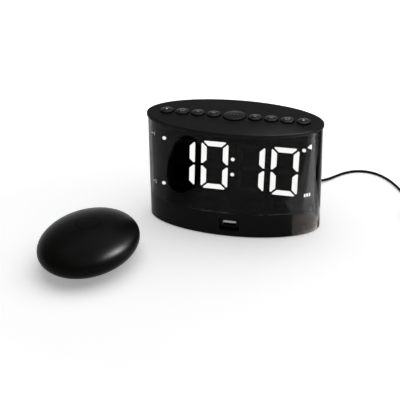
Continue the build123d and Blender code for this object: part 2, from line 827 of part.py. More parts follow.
# Push buttons: a domed cap, a flange that keeps it under the cover and a stem down to the rubber mat
for number, x in enumerate(button_xs):
    outer = abs(number - buttons_each_side)
    side = "left" if x < 0 else "right"
    name = f"{side}_button_{outer}" if outer else "snooze_button"
    cap_radius = small_cap_radius if outer else snooze_cap_radius
    stem_radius = small_stem_radius if outer else snooze_stem_radius
    with BuildPart() as button:
        with BuildSketch(Plane.XZ):
            with BuildLine():
                Polyline(
                    (0, cover_top_z + cap_side_rise + cap_dome_rise),
                    (0, key_dome_top_z + key_dome_gap),
                    (stem_radius, key_dome_top_z + key_dome_gap),
                    (stem_radius, flange_top_z - cap_flange_height),
                    (cap_radius + cap_flange, flange_top_z - cap_flange_height),
                    (cap_radius + cap_flange, flange_top_z),
                    (cap_radius, flange_top_z),
                    (cap_radius, cover_top_z + cap_side_rise),
                )
                RadiusArc(
                    (cap_radius, cover_top_z + cap_side_rise),
                    (0, cover_top_z + cap_side_rise + cap_dome_rise),
                    -(cap_radius**2 + cap_dome_rise**2) / (2 * cap_dome_rise),
                )
            make_face()
        revolve(axis=Axis.Z)
        cap_edge_z = cover_top_z + cap_side_rise
        rims = button.edges().filter_by(GeomType.CIRCLE)
        fillet(rims.filter_by_position(Axis.Z, cap_edge_z, cap_edge_z), radius=cap_edge_radius)
    placed = Location((x, 0, 0)) * button.part
    placed.label = name
    export_step(placed, f"parts/{name}.step")

# Rubber key mat with a dome under each button
with BuildPart() as key_mat:
    with BuildSketch(Plane.XY.offset(key_board_top_z)):
        Rectangle(key_board_width - 2 * key_mat_inset, key_board_depth - 2 * key_mat_inset)
        with Locations(*key_boss_places):
            Circle(key_boss_radius + key_boss_clearance, mode=Mode.SUBTRACT)
    extrude(amount=key_mat_thickness)
    for x in button_xs:
        dome_radius = small_stem_radius if x else snooze_stem_radius
        dome_height = key_dome_top_z - key_board_top_z - key_mat_thickness
        with Locations((x, 0, key_dome_top_z - dome_height / 2)):
            Cone(dome_radius + key_dome_spread, dome_radius, dome_height)
key_mat.part.label = "key_mat"
export_step(key_mat.part, "parts/key_mat.step")

# Key board, hung from the cover's bosses
with BuildPart() as key_board:
    with BuildSketch(Plane.XY.offset(key_board_under_z)):
        Rectangle(key_board_width, key_board_depth)
        with Locations(*key_boss_places):
            Circle(board_screw_radius + screw_hole_gap, mode=Mode.SUBTRACT)
    extrude(amount=board_thickness)
key_board.part.label = "key_board"
export_step(key_board.part, "parts/key_board.step")

# Display mask: a deep black plate with a light well for every segment and dot
with BuildPart() as display_mask:
    with BuildSketch(front_plane):
        with Locations((0, (mask_bottom_z + mask_top_z) / 2)):
            Rectangle(mask_width, mask_top_z - mask_bottom_z)
        for digit_x, letter in segments(True) + segments(False):
            Polygon(*placed_segment(digit_x, letter, 0), align=None, mode=Mode.SUBTRACT)
        with Locations(*dot_places):
            Circle(dot_radius, mode=Mode.SUBTRACT)
    extrude(amount=-mask_depth)
    with BuildSketch(board_plane):
        for z in (display_board_bottom_z + display_screw_inset, display_board_top_z - display_screw_inset):
            with Locations((-display_screw_x, z), (display_screw_x, z)):
                Circle(board_screw_radius + screw_gap)
    extrude(amount=board_screw_length - board_thickness, mode=Mode.SUBTRACT)
display_mask.part.label = "display_mask"
export_step(display_mask.part, "parts/display_mask.step")

# Segments and dots: translucent inserts in the front of the wells, the shown ones apart from the dark ones
with BuildPart() as lit_segments:
    with BuildSketch(front_plane):
        for digit_x, letter in segments(True):
            Polygon(*placed_segment(digit_x, letter, segment_fit), align=None)
        with Locations(*dot_places):
            Circle(dot_radius - segment_fit)
    extrude(amount=-segment_depth)
lit_segments.part.label = "lit_segments"
export_step(lit_segments.part, "parts/lit_segments.step")

with BuildPart() as dark_segments:
    with BuildSketch(front_plane):
        for digit_x, letter in segments(False):
            Polygon(*placed_segment(digit_x, letter, segment_fit), align=None)
    extrude(amount=-segment_depth)
dark_segments.part.label = "dark_segments"
export_step(dark_segments.part, "parts/dark_segments.step")

# Display board with one light-emitting chip behind every segment and dot
with BuildPart() as display_board:
    with BuildSketch(board_plane):
        with Locations((0, (display_board_bottom_z + display_board_top_z) / 2)):
            Rectangle(display_board_width, display_board_top_z - display_board_bottom_z)
        for z in (display_board_bottom_z + display_screw_inset, display_board_top_z - display_screw_inset):
            with Locations((-display_screw_x, z), (display_screw_x, z)):
                Circle(board_screw_radius + screw_hole_gap, mode=Mode.SUBTRACT)
    extrude(amount=-board_thickness)
display_board.part.label = "display_board"
export_step(display_board.part, "parts/display_board.step")

segment_middles = []
for digit_x, letter in segments(True) + segments(False):
    outline = placed_segment(digit_x, letter, 0)
    middle_x = sum(x for x, z in outline) / len(outline)
    middle_z = sum(z for x, z in outline) / len(outline)
    segment_middles.append((middle_x, middle_z))
with BuildPart() as segment_leds:
    with BuildSketch(board_plane):
        with Locations(*segment_middles, *dot_places):
            Rectangle(led_length, led_width)
    extrude(amount=led_height)
segment_leds.part.label = "segment_leds"
export_step(segment_leds.part, "parts/segment_leds.step")

# Main board on the bottom plate's posts
with BuildPart() as main_board:
    with BuildSketch(Plane.XY.offset(main_board_under_z)):
        with Locations((main_board_left, main_board_front)):
            Rectangle(
                main_board_right - main_board_left,
                main_board_rear - main_board_front,
                align=(Align.MIN, Align.MIN),
            )
        with Locations((usb_x, main_board_front)):
            Rectangle(
                usb_pocket_width + usb_pad_side,
                main_board_front - usb_pad_rear_y - fit_gap,
                align=(Align.CENTER, Align.MAX),
            )
        with Locations(*main_screw_places):
            Circle(board_screw_radius + screw_hole_gap, mode=Mode.SUBTRACT)
    extrude(amount=board_thickness)
main_board.part.label = "main_board"
export_step(main_board.part, "parts/main_board.step")

# Board screws: twelve alike, four for each board
with BuildPart() as board_screws:
    with BuildSketch(Plane.XY.offset(main_board_top_z)):
        with Locations(*main_screw_places):
            Circle(board_head_radius)
    extrude(amount=board_head_height)
    with BuildSketch(Plane.XY.offset(main_board_top_z)):
        with Locations(*main_screw_places):
            Circle(board_screw_radius)
    extrude(amount=-board_screw_length)
    with BuildSketch(Plane.XY.offset(key_board_under_z)):
        with Locations(*key_boss_places):
            Circle(board_head_radius)
    extrude(amount=-board_head_height)
    with BuildSketch(Plane.XY.offset(key_board_under_z)):
        with Locations(*key_boss_places):
            Circle(board_screw_radius)
    extrude(amount=board_screw_length)
    for z in (display_board_bottom_z + display_screw_inset, display_board_top_z - display_screw_inset):
        with BuildSketch(y_plane(display_board_rear_y)):
            with Locations((-display_screw_x, z), (display_screw_x, z)):
                Circle(board_head_radius)
        extrude(amount=-board_head_height)
        with BuildSketch(y_plane(display_board_rear_y)):
            with Locations((-display_screw_x, z), (display_screw_x, z)):
                Circle(board_screw_radius)
        extrude(amount=board_screw_length)
board_screws.part.label = "board_screws"
export_step(board_screws.part, "parts/board_screws.step")

# Radio board and its wire antenna, which signal to the shaker
with BuildPart() as radio_board:
    with BuildSketch(Plane.XY.offset(main_board_top_z)):
        with Locations((radio_board_left, radio_board_y)):
            Rectangle(radio_board_width, radio_board_thickness, align=(Align.MIN, Align.MIN))
    extrude(amount=radio_board_height)
radio_board.part.label = "radio_board"
export_step(radio_board.part, "parts/radio_board.step")

with BuildPart() as antenna:
    with BuildSketch(Plane.YZ.offset(radio_board_left)):
        with Locations((radio_board_y + radio_board_thickness / 2, main_board_top_z + antenna_height)):
            Circle(antenna_radius)
    extrude(amount=-antenna_length)
antenna.part.label = "antenna"
export_step(antenna.part, "parts/antenna.step")

# Flat cables from the main board up to the key board and the display board
with BuildPart() as key_ribbon:
    with BuildSketch(Plane.XY.offset(main_board_top_z)):
        with Locations((key_ribbon_x, key_ribbon_y)):
            Rectangle(key_ribbon_width, ribbon_thickness)
    extrude(amount=key_board_under_z - main_board_top_z)
key_ribbon.part.label = "key_ribbon"
export_step(key_ribbon.part, "parts/key_ribbon.step")

with BuildPart() as display_ribbon:
    with BuildSketch(Plane.XY.offset(main_board_top_z)):
        with Locations((0, display_board_rear_y)):
            Rectangle(display_ribbon_width, ribbon_thickness, align=(Align.CENTER, Align.MIN))
    extrude(amount=display_ribbon_top_z - main_board_top_z)
display_ribbon.part.label = "display_ribbon"
export_step(display_ribbon.part, "parts/display_ribbon.step")

# Charging outlet: a folded metal shell with a white tongue in its upper half
with BuildPart() as usb_shell:
    with BuildSketch(y_plane(usb_mouth_y)):
        with Locations((usb_x, usb_z)):
            Rectangle(usb_width, usb_height)
    extrude(amount=-usb_length)
    with BuildSketch(y_plane(usb_mouth_y)):
        with Locations((usb_x, usb_z)):
            Rectangle(usb_width - 2 * usb_sheet, usb_height - 2 * usb_sheet)
    extrude(amount=usb_sheet - usb_length, mode=Mode.SUBTRACT)
usb_shell.part.label = "usb_shell"
export_step(usb_shell.part, "parts/usb_shell.step")

with BuildPart() as usb_tongue:
    with BuildSketch(y_plane(usb_rear_y - usb_sheet)):
        with Locations((usb_x, usb_z)):
            Rectangle(usb_width - 2 * usb_sheet - 2 * usb_fit, usb_height - 2 * usb_sheet - 2 * usb_fit)
    extrude(amount=tongue_root)
    with BuildSketch(y_plane(usb_rear_y - usb_sheet)):
        with Locations((usb_x, usb_z + tongue_rise)):
            Rectangle(tongue_width, tongue_thickness, align=(Align.CENTER, Align.MIN))
    extrude(amount=usb_length - usb_sheet - tongue_recess)
usb_tongue.part.label = "usb_tongue"
export_step(usb_tongue.part, "parts/usb_tongue.step")

# Power socket: a block on the main board, its nose in the base band, with a centre pin
with BuildPart() as dc_jack:
    with BuildSketch(Plane.XY.offset(main_board_top_z)):
        with Locations((jack_x, jack_rear_y)):
            Rectangle(jack_width, jack_length, align=(Align.CENTER, Align.MAX))
    extrude(amount=jack_z + jack_rise - main_board_top_z)
    with BuildSketch(y_plane(jack_face_y)):
        with Locations((jack_x, jack_z)):
            Circle(jack_nose_radius)
    extrude(amount=jack_nose_length + overlap)
    with BuildSketch(y_plane(jack_face_y)):
        with Locations((jack_x, jack_z)):
            Circle(jack_bore_radius)
    extrude(amount=jack_bore_depth, mode=Mode.SUBTRACT)
    with BuildSketch(y_plane(jack_face_y - jack_pin_setback)):
        with Locations((jack_x, jack_z)):
            Circle(jack_pin_radius)
    extrude(amount=jack_bore_depth - jack_pin_setback + overlap)
dc_jack.part.label = "dc_jack"
export_step(dc_jack.part, "parts/dc_jack.step")

# Loudspeaker: basket, cone and magnet
basket_floor_y = speaker_seat_y - speaker_depth + speaker_sheet
with BuildPart() as speaker_basket:
    with BuildSketch(speaker_plane):
        with BuildLine():
            Polyline(
                (speaker_seat_y, speaker_mouth_radius),
                (speaker_seat_y, speaker_flange_radius),
                (speaker_seat_y - speaker_flange_thickness, speaker_flange_radius),
                (speaker_seat_y - speaker_flange_thickness, speaker_mouth_radius + speaker_sheet),
                (basket_floor_y - speaker_sheet, speaker_floor_radius + speaker_sheet),
                (basket_floor_y - speaker_sheet, 0),
                (basket_floor_y, 0),
                (basket_floor_y, speaker_floor_radius),
                close=True,
            )
        make_face()
    revolve(axis=speaker_axis)
speaker_basket.part.label = "speaker_basket"
export_step(speaker_basket.part, "parts/speaker_basket.step")

cone_floor_y = speaker_seat_y - cone_depth
cone_rim_inner = cone_rim_radius - cone_rim_band
with BuildPart() as speaker_cone:
    with BuildSketch(speaker_plane):
        with BuildLine():
            Polyline(
                (speaker_seat_y + cone_sheet, cone_rim_radius),
                (speaker_seat_y, cone_rim_radius),
                (speaker_seat_y, cone_rim_inner),
                (cone_floor_y, cone_cap_radius),
                (cone_floor_y, 0),
                (cone_floor_y + cone_sheet, 0),
                (cone_floor_y + cone_sheet, cone_cap_radius - cone_sheet),
                (speaker_seat_y + cone_sheet, cone_rim_inner - cone_sheet),
                close=True,
            )
        make_face()
    revolve(axis=speaker_axis)
speaker_cone.part.label = "speaker_cone"
export_step(speaker_cone.part, "parts/speaker_cone.step")

with BuildPart() as speaker_magnet:
    with BuildSketch(y_plane(basket_floor_y - speaker_sheet)):
        with Locations((0, speaker_z)):
            Circle(magnet_radius)
    extrude(amount=magnet_height)
speaker_magnet.part.label = "speaker_magnet"
export_step(speaker_magnet.part, "parts/speaker_magnet.step")

# Shaker pebble: the outer egg, the hollow inside it, and the stands and posts in its two shells
with BuildPart() as shaker_egg:
    add(egg(0))

with BuildPart() as shaker_hollow:
    add(egg(shaker_wall))
    split(bisect_by=Plane.XY.offset(shaker_floor_z), keep=Keep.TOP)

with BuildPart() as shaker_stands:
    with BuildSketch():
        with Locations(*shaker_screw_places):
            Circle(shaker_boss_radius)
    extrude(amount=shaker_boss_top_z)
    with BuildSketch():
        for y in shaker_rib_ys:
            with Locations((0, y)):
                Rectangle(shaker_rib_width, shaker_rib_thickness)
    extrude(amount=shaker_board_bottom_z)
    with BuildSketch(Plane.XY.offset(shaker_half_height - shaker_lip_below)):
        lip_half_width = shaker_half_width - shaker_wall - shaker_lip_gap
        lip_half_length = shaker_half_length - shaker_wall - shaker_lip_gap
        Ellipse(lip_half_width, lip_half_length)
        Ellipse(
            lip_half_width - shaker_lip_thickness,
            lip_half_length - shaker_lip_thickness,
            mode=Mode.SUBTRACT,
        )
    extrude(amount=shaker_lip_below + shaker_lip_above)
    add(shaker_egg.part, mode=Mode.INTERSECT)

charge_far_y = shaker_board_far_y - charge_length / 8 + charge_length
charge_z = shaker_board_bottom_z + shaker_board_thickness + charge_height / 2
with BuildPart() as shaker_bottom_shell:
    add(shaker_egg.part)
    split(bisect_by=Plane.XY.offset(shaker_half_height), keep=Keep.BOTTOM)
    split(bisect_by=Plane.XY.offset(shaker_pad_thickness), keep=Keep.TOP)
    add(shaker_hollow.part, mode=Mode.SUBTRACT)
    add(shaker_stands.part)
    with BuildSketch():
        with Locations(*shaker_screw_places):
            Circle(shaker_head_radius + head_gap)
    extrude(amount=shaker_head_seat_z, mode=Mode.SUBTRACT)
    with BuildSketch():
        with Locations(*shaker_screw_places):
            Circle(shaker_screw_radius + screw_hole_gap)
    extrude(amount=shaker_boss_top_z, mode=Mode.SUBTRACT)
    with BuildSketch(y_plane(charge_far_y - charge_length)):
        with Locations((0, charge_z)):
            Rectangle(charge_width + 2 * charge_fit, charge_height + 2 * charge_fit)
    extrude(amount=-2 * charge_length, mode=Mode.SUBTRACT)

with BuildPart() as shaker_posts:
    with BuildSketch(Plane.XY.offset(shaker_boss_top_z)):
        with Locations(*shaker_screw_places):
            Circle(shaker_post_radius)
    extrude(amount=2 * shaker_half_height)
    with BuildSketch(Plane.XY.offset(shaker_key_board_top_z)):
        with Locations((-shaker_key_post_x, 0), (shaker_key_post_x, 0)):
            Circle(shaker_key_post_radius)
    extrude(amount=shaker_half_height)
    add(egg(shaker_wall / 2), mode=Mode.INTERSECT)

with BuildPart() as shaker_top_shell:
    add(shaker_egg.part)
    split(bisect_by=Plane.XY.offset(shaker_half_height), keep=Keep.TOP)
    add(shaker_hollow.part, mode=Mode.SUBTRACT)
    add(shaker_posts.part)
    with BuildSketch(Plane.XY.offset(shaker_boss_top_z)):
        with Locations(*shaker_screw_places):
            Circle(shaker_screw_radius + screw_gap)
    extrude(amount=shaker_screw_length, mode=Mode.SUBTRACT)
    with BuildSketch(Plane.XY.offset(shaker_half_height)):
        Circle(shaker_cap_radius + shaker_cap_gap)
    extrude(amount=2 * shaker_half_height, mode=Mode.SUBTRACT)

with BuildPart() as shaker_button:
    add(shaker_egg.part)
    with BuildSketch(Plane.XY.offset(shaker_cap_flange_top_z)):
        Circle(shaker_cap_radius)
    extrude(amount=shaker_half_height, mode=Mode.INTERSECT)
    with BuildSketch(Plane.XY.offset(shaker_cap_flange_top_z)):
        Circle(shaker_cap_radius + shaker_cap_flange)
    extrude(amount=-shaker_cap_flange_height)
    with BuildSketch(Plane.XY.offset(shaker_cap_flange_top_z)):
        Circle(shaker_stem_radius)
    extrude(
        amount=shaker_key_board_top_z + shaker_dome_height + shaker_dome_gap - shaker_cap_flange_top_z
    )

with BuildPart() as shaker_dome:
    with Locations((0, 0, shaker_key_board_top_z + shaker_dome_height / 2)):
        Cone(shaker_stem_radius + shaker_dome_spread, shaker_stem_radius, shaker_dome_height)

with BuildPart() as shaker_key_board:
    with BuildSketch(Plane.XY.offset(shaker_key_board_top_z)):
        Rectangle(shaker_key_board_width, shaker_key_board_depth)
    extrude(amount=-shaker_key_board_thickness)

flat_share = math.sqrt(1 - (1 - shaker_pad_thickness / shaker_half_height) ** 2)
with BuildPart() as shaker_pad:
    with BuildSketch():
        Ellipse(
            shaker_half_width * flat_share - shaker_pad_inset,
            shaker_half_length * flat_share - shaker_pad_inset,
        )
    extrude(amount=shaker_pad_thickness)

with BuildPart() as shaker_screws:
    with BuildSketch(Plane.XY.offset(shaker_head_seat_z)):
        with Locations(*shaker_screw_places):
            Circle(shaker_head_radius)
    extrude(amount=-shaker_head_height)
    with BuildSketch(Plane.XY.offset(shaker_head_seat_z)):
        with Locations(*shaker_screw_places):
            Circle(shaker_screw_radius)
    extrude(amount=shaker_screw_length)

# Vibration motor in its cradle, and the turning shaft with the off-centre weight
with BuildPart() as motor_cradle:
    with BuildSketch(Plane.XY.offset(shaker_floor_z)):
        Rectangle(cradle_width, cradle_length)
    extrude(amount=cradle_top_z - shaker_floor_z)
    with BuildSketch(y_plane(-cradle_length)):
        with Locations((0, motor_axis_z)):
            Circle(motor_radius + cradle_gap)
    extrude(amount=-2 * cradle_length, mode=Mode.SUBTRACT)

with BuildPart() as motor_can:
    with BuildSketch(y_plane(motor_rear_y)):
        with Locations((0, motor_axis_z)):
            Circle(motor_radius)
    extrude(amount=motor_rear_y - motor_front_y)
    with BuildSketch(y_plane(motor_front_y)):
        with Locations((0, motor_axis_z)):
            Circle(motor_nose_radius)
    extrude(amount=motor_nose_length)
    with BuildSketch(y_plane(motor_front_y - motor_nose_length)):
        with Locations((0, motor_axis_z)):
            Circle(shaft_radius + motor_bore_gap)
    extrude(amount=-motor_bore_depth, mode=Mode.SUBTRACT)

shaft_start_y = motor_front_y - motor_nose_length + motor_bore_depth - 2 * motor_bore_gap
with BuildPart() as motor_shaft:
    with BuildSketch(y_plane(shaft_start_y)):
        with Locations((0, motor_axis_z)):
            Circle(shaft_radius)
    extrude(amount=shaft_start_y - shaft_end_y)

with BuildPart() as eccentric_weight:
    with BuildSketch(y_plane(weight_near_y)):
        with Locations((0, motor_axis_z)):
            Circle(weight_radius)
            Rectangle(
                2 * weight_radius, weight_radius, align=(Align.CENTER, Align.MIN), mode=Mode.SUBTRACT
            )
            Circle(weight_hub_radius)
            Circle(shaft_radius + screw_gap, mode=Mode.SUBTRACT)
    extrude(amount=weight_near_y - weight_far_y)

# Shaker electronics: board, rechargeable cell and charging socket
with BuildPart() as shaker_board:
    with BuildSketch(Plane.XY.offset(shaker_board_bottom_z)):
        with Locations((0, shaker_board_near_y)):
            Rectangle(
                shaker_board_width,
                shaker_board_far_y - shaker_board_near_y,
                align=(Align.CENTER, Align.MIN),
            )
    extrude(amount=shaker_board_thickness)

with BuildPart() as shaker_cell:
    with BuildSketch(Plane.XY.offset(shaker_board_bottom_z + shaker_board_thickness)):
        with Locations((0, cell_pack_near_y)):
            RectangleRounded(
                cell_pack_width,
                cell_pack_length,
                cell_pack_height / 4,
                align=(Align.CENTER, Align.MIN),
            )
    extrude(amount=cell_pack_height)

with BuildPart() as charge_socket:
    with BuildSketch(y_plane(charge_far_y)):
        with Locations((0, charge_z)):
            Rectangle(charge_width, charge_height)
    extrude(amount=charge_length)
    with BuildSketch(y_plane(charge_far_y)):
        with Locations((0, charge_z)):
            Rectangle(charge_width - 2 * charge_sheet, charge_height - 2 * charge_sheet)
    extrude(amount=charge_length - charge_sheet, mode=Mode.SUBTRACT)

# The shaker's pieces are moved to their place beside the clock
shaker_pieces = {
    "shaker_bottom_shell": shaker_bottom_shell,
    "shaker_top_shell": shaker_top_shell,
    "shaker_button": shaker_button,
    "shaker_dome": shaker_dome,
    "shaker_key_board": shaker_key_board,
    "shaker_pad": shaker_pad,
    "shaker_screws": shaker_screws,
    "motor_cradle": motor_cradle,
    "motor_can": motor_can,
    "motor_shaft": motor_shaft,
    "eccentric_weight": eccentric_weight,
    "shaker_board": shaker_board,
    "shaker_cell": shaker_cell,
    "charge_socket": charge_socket,
}
for name, piece in shaker_pieces.items():
    placed = shaker_place * piece.part
    placed.label = name
    export_step(placed, f"parts/{name}.step")

# Plug on the cord: metal sleeve, grip and tapering strain relief in one moulding
plug_tip_y = jack_face_y - plug_barrel_length
with BuildPart() as dc_plug:
    with BuildSketch(jack_plane):
        with BuildLine():
            Polyline(
                (plug_tip_y, jack_pin_radius + plug_bore_gap),
                (plug_tip_y, plug_barrel_radius),
                (jack_face_y, plug_barrel_radius),
                (jack_face_y, plug_grip_radius),
                (jack_face_y + plug_grip_length, plug_grip_radius),
                (cord_exit[1], plug_tail_radius),
                (cord_exit[1], 0),
                (jack_face_y, 0),
                (jack_face_y, jack_pin_radius + plug_bore_gap),
                close=True,
            )
        make_face()
    revolve(axis=jack_axis)
dc_plug.part.label = "dc_plug"
export_step(dc_plug.part, "parts/dc_plug.step")

# Cord from the plug to the coil, in straight runs and tangent arcs
fillet_radii = []
for before, corner, after in zip(cord_points, cord_points[1:], cord_points[2:]):
    run_in = Vector(*corner) - Vector(*before)
    run_out = Vector(*after) - Vector(*corner)
    half_turn = math.radians(run_in.get_angle(run_out)) / 2
    fillet_radii.append(fillet_share * min(run_in.length, run_out.length) / math.tan(half_turn))
with BuildPart() as power_cord:
    with BuildLine() as cord_path:
        FilletPolyline(*cord_points, radius=fillet_radii)
    with BuildSketch(Plane(origin=cord_path.line @ 0, z_dir=cord_path.line % 0)):
        Circle(cord_radius)
    sweep(path=cord_path.line)
power_cord.part.label = "power_cord"
export_step(power_cord.part, "parts/power_cord.step")


def coil_place(quarter):
    """Point and direction of the coil's centreline after a number of quarter turns.

    Each layer winds in or out at a steady rate. In the half turn between two layers the spiral
    reverses, and the cord climbs by one layer.
    """
    cycle = coil_quarters + coil_climb_quarters
    layer = min(int(quarter // cycle), coil_layers - 1)
    along = (quarter - layer * cycle) / 4
    inward = 1 if layer % 2 == 0 else -1
    start_radius = coil_outer_radius if inward == 1 else coil_outer_radius - coil_pitch * coil_quarters / 4
    wound = coil_quarters / 4
    climb = coil_climb_quarters / 4
    if along <= wound:
        radius = start_radius - inward * coil_pitch * along
        radius_rate = -inward * coil_pitch
        height, height_rate = 0.0, 0.0
    else:
        past = along - wound
        share = past / climb
        radius = start_radius - inward * coil_pitch * (wound + past - past**2 / climb)
        radius_rate = -inward * coil_pitch * (1 - 2 * share)
        height = coil_layer_rise * share**2 * (3 - 2 * share)
        height_rate = coil_layer_rise * 6 * share * (1 - share) / climb
    angle = math.pi - coil_lead_angle + quarter * math.pi / 2
    place = Vector(
        coil_x + radius * math.cos(angle),
        coil_y + radius * math.sin(angle),
        coil_base_z + layer * coil_layer_rise + height,
    )
    turn_rate = 2 * math.pi
    heading = Vector(
        radius_rate * math.cos(angle) - radius * turn_rate * math.sin(angle),
        radius_rate * math.sin(angle) + radius * turn_rate * math.cos(angle),
        height_rate,
    )
    return place, heading.normalized()


def biarc(start, heading_start, end, heading_end):
    """Middle point and direction of the pair of arcs that joins two directed points."""
    chord = end - start
    both = heading_start + heading_end
    spread = 2 * (1 - heading_start.dot(heading_end))
    reach = chord.dot(both)
    handle = (math.sqrt(reach**2 + spread * chord.dot(chord)) - reach) / spread
    near = start + heading_start * handle
    far = end - heading_end * handle
    return (near + far) * 0.5, (far - near).normalized()


# Wound rest of the cord: one tube, spiralling in and out in layers
coil_steps = coil_layers * coil_quarters + (coil_layers - 1) * coil_climb_quarters
coil_start, coil_start_heading = coil_place(0)
coil_end, coil_end_heading = coil_place(coil_steps)
with BuildPart() as cord_coil:
    with BuildLine() as coil_path:
        Line(coil_start - coil_start_heading * coil_lead, coil_start)
        for step in range(coil_steps):
            here, heading_here = coil_place(step)
            there, heading_there = coil_place(step + 1)
            middle, heading_middle = biarc(here, heading_here, there, heading_there)
            TangentArc(here, middle, tangent=heading_here)
            TangentArc(middle, there, tangent=heading_middle)
        Line(coil_end, coil_end + coil_end_heading * coil_lead)
    with BuildSketch(Plane(origin=coil_path.line @ 0, z_dir=coil_path.line % 0)):
        Circle(cord_radius)
    sweep(path=coil_path.line)
cord_coil.part.label = "cord_coil"
export_step(cord_coil.part, "parts/cord_coil.step")

# Tail of the cord from the coil to the adapter
tail_start = coil_end + coil_end_heading * coil_lead
with BuildPart() as cord_tail:
    with BuildSketch(Plane(origin=tail_start, z_dir=coil_end_heading)):
        Circle(cord_radius)
    extrude(amount=cord_tail_length)
cord_tail.part.label = "cord_tail"
export_step(cord_tail.part, "parts/cord_tail.step")

# Tie: a flat band round the coil's bundle at its front
coil_inner_radius = coil_outer_radius - coil_pitch * coil_quarters / 4 - coil_pitch / 8
tie_inner = math.sqrt(coil_inner_radius**2 - (coil_tie_width / 2) ** 2) - cord_radius
tie_outer = coil_outer_radius + coil_pitch / 8 + cord_radius
tie_top_z = coil_base_z + (coil_layers - 1) * coil_layer_rise + cord_radius - coil_tie_bite
with BuildPart() as cord_tie:
    with BuildSketch(Plane.YZ.offset(coil_x - coil_tie_width / 2)):
        with Locations((coil_y - tie_outer - coil_tie_thickness, 0)):
            Rectangle(
                tie_outer - tie_inner + 2 * coil_tie_thickness,
                tie_top_z + coil_tie_thickness,
                align=(Align.MIN, Align.MIN),
            )
        with Locations((coil_y - tie_outer, coil_tie_thickness)):
            Rectangle(
                tie_outer - tie_inner,
                tie_top_z - coil_tie_thickness,
                align=(Align.MIN, Align.MIN),
                mode=Mode.SUBTRACT,
            )
    extrude(amount=coil_tie_width)
cord_tie.part.label = "cord_tie"
export_step(cord_tie.part, "parts/cord_tie.step")

# Mains adapter, drawn about the end of its strain relief and laid on its back beyond the coil, pins up
tail_end = tail_start + coil_end_heading * cord_tail_length
tail_turn = math.degrees(math.atan2(-coil_end_heading.X, coil_end_heading.Y))
adapter_place = Location((tail_end.X, tail_end.Y, 0), (0, 0, tail_turn))
adapter_top_z = adapter_height + adapter_neck_height
neck_y = adapter_relief_length + adapter_neck_setback
with BuildPart() as adapter_case:
    with BuildSketch():
        with Locations((0, adapter_relief_length + adapter_length / 2)):
            RectangleRounded(adapter_width, adapter_length, adapter_corner)
    extrude(amount=adapter_height)
    fillet(adapter_case.edges().group_by(Axis.Z)[-1], radius=adapter_edge)
    fillet(adapter_case.edges().group_by(Axis.Z)[0], radius=adapter_edge)
    with BuildSketch(Plane.XY.offset(adapter_height - overlap)):
        with Locations((0, neck_y)):
            SlotOverall(adapter_neck_width, adapter_neck_depth)
    extrude(amount=adapter_neck_height + overlap)
    with BuildSketch(Plane(origin=(0, 0, tail_end.Z), x_dir=(0, 1, 0), z_dir=(1, 0, 0))):
        with BuildLine():
            Polyline(
                (0, 0),
                (0, adapter_relief_tip),
                (adapter_relief_length + overlap, adapter_relief_root),
                (adapter_relief_length + overlap, 0),
                close=True,
            )
        make_face()
    revolve(axis=Axis((0, 0, tail_end.Z), (0, 1, 0)))

with BuildPart() as adapter_pins:
    with BuildSketch(Plane.XY.offset(adapter_top_z)):
        with Locations((-pin_spacing / 2, neck_y), (pin_spacing / 2, neck_y)):
            Circle(pin_radius)
    extrude(amount=pin_length)
    fillet(adapter_pins.edges().group_by(Axis.Z)[-1], radius=pin_tip_radius)

for name, piece in {"adapter_case": adapter_case, "adapter_pins": adapter_pins}.items():
    placed = adapter_place * piece.part
    placed.label = name
    export_step(placed, f"parts/{name}.step")

# Figures on the cord, for reading when the source is run
cord_section = math.pi * cord_radius**2
print("cord fillet radii", [round(radius, 1) for radius in fillet_radii])
for label, piece, path in (("cord", power_cord, cord_path), ("coil", cord_coil, coil_path)):
    length = sum(edge.length for edge in path.line.edges())
    share = piece.part.volume / length / cord_section
    print(label, "length", round(length, 1), "volume share", round(share, 4))
samples_per_edge = 6
coil_line = []
for edge in coil_path.line.edges():
    coil_line += [edge @ (i / samples_per_edge) for i in range(samples_per_edge)]
near_samples = 8 * samples_per_edge - 4
least = min(
    (coil_line[i] - coil_line[j]).length
    for i in range(len(coil_line))
    for j in range(i + near_samples, len(coil_line))
)
print("coil least gap", round(least - 2 * cord_radius, 2))
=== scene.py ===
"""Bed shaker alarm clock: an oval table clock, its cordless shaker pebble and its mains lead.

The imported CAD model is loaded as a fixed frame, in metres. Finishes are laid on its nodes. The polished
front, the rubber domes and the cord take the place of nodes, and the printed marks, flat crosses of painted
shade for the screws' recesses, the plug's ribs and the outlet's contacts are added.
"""

import json
import logging
import math
from dataclasses import dataclass, field
from enum import Enum
from typing import Iterator, Optional, Union

import bmesh
import bpy
from mathutils import Matrix, Quaternion, Vector


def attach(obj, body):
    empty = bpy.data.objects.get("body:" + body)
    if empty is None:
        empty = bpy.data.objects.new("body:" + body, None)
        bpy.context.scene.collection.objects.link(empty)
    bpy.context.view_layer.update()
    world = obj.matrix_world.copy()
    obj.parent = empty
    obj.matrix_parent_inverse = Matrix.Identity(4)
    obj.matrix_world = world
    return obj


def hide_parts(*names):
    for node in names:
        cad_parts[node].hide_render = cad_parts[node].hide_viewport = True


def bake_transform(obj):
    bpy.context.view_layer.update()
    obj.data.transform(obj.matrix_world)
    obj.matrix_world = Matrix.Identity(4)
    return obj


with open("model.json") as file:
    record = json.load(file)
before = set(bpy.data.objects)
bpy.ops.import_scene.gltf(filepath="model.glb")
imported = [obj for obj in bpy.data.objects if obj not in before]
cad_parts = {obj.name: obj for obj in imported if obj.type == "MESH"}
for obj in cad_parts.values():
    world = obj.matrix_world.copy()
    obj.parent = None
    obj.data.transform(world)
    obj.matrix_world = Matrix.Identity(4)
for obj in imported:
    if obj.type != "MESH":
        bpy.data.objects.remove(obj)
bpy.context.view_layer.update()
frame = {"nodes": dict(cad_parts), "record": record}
LOG = logging.getLogger("bed_shaker_clock")
MM = 0.001
WELD = 1e-6

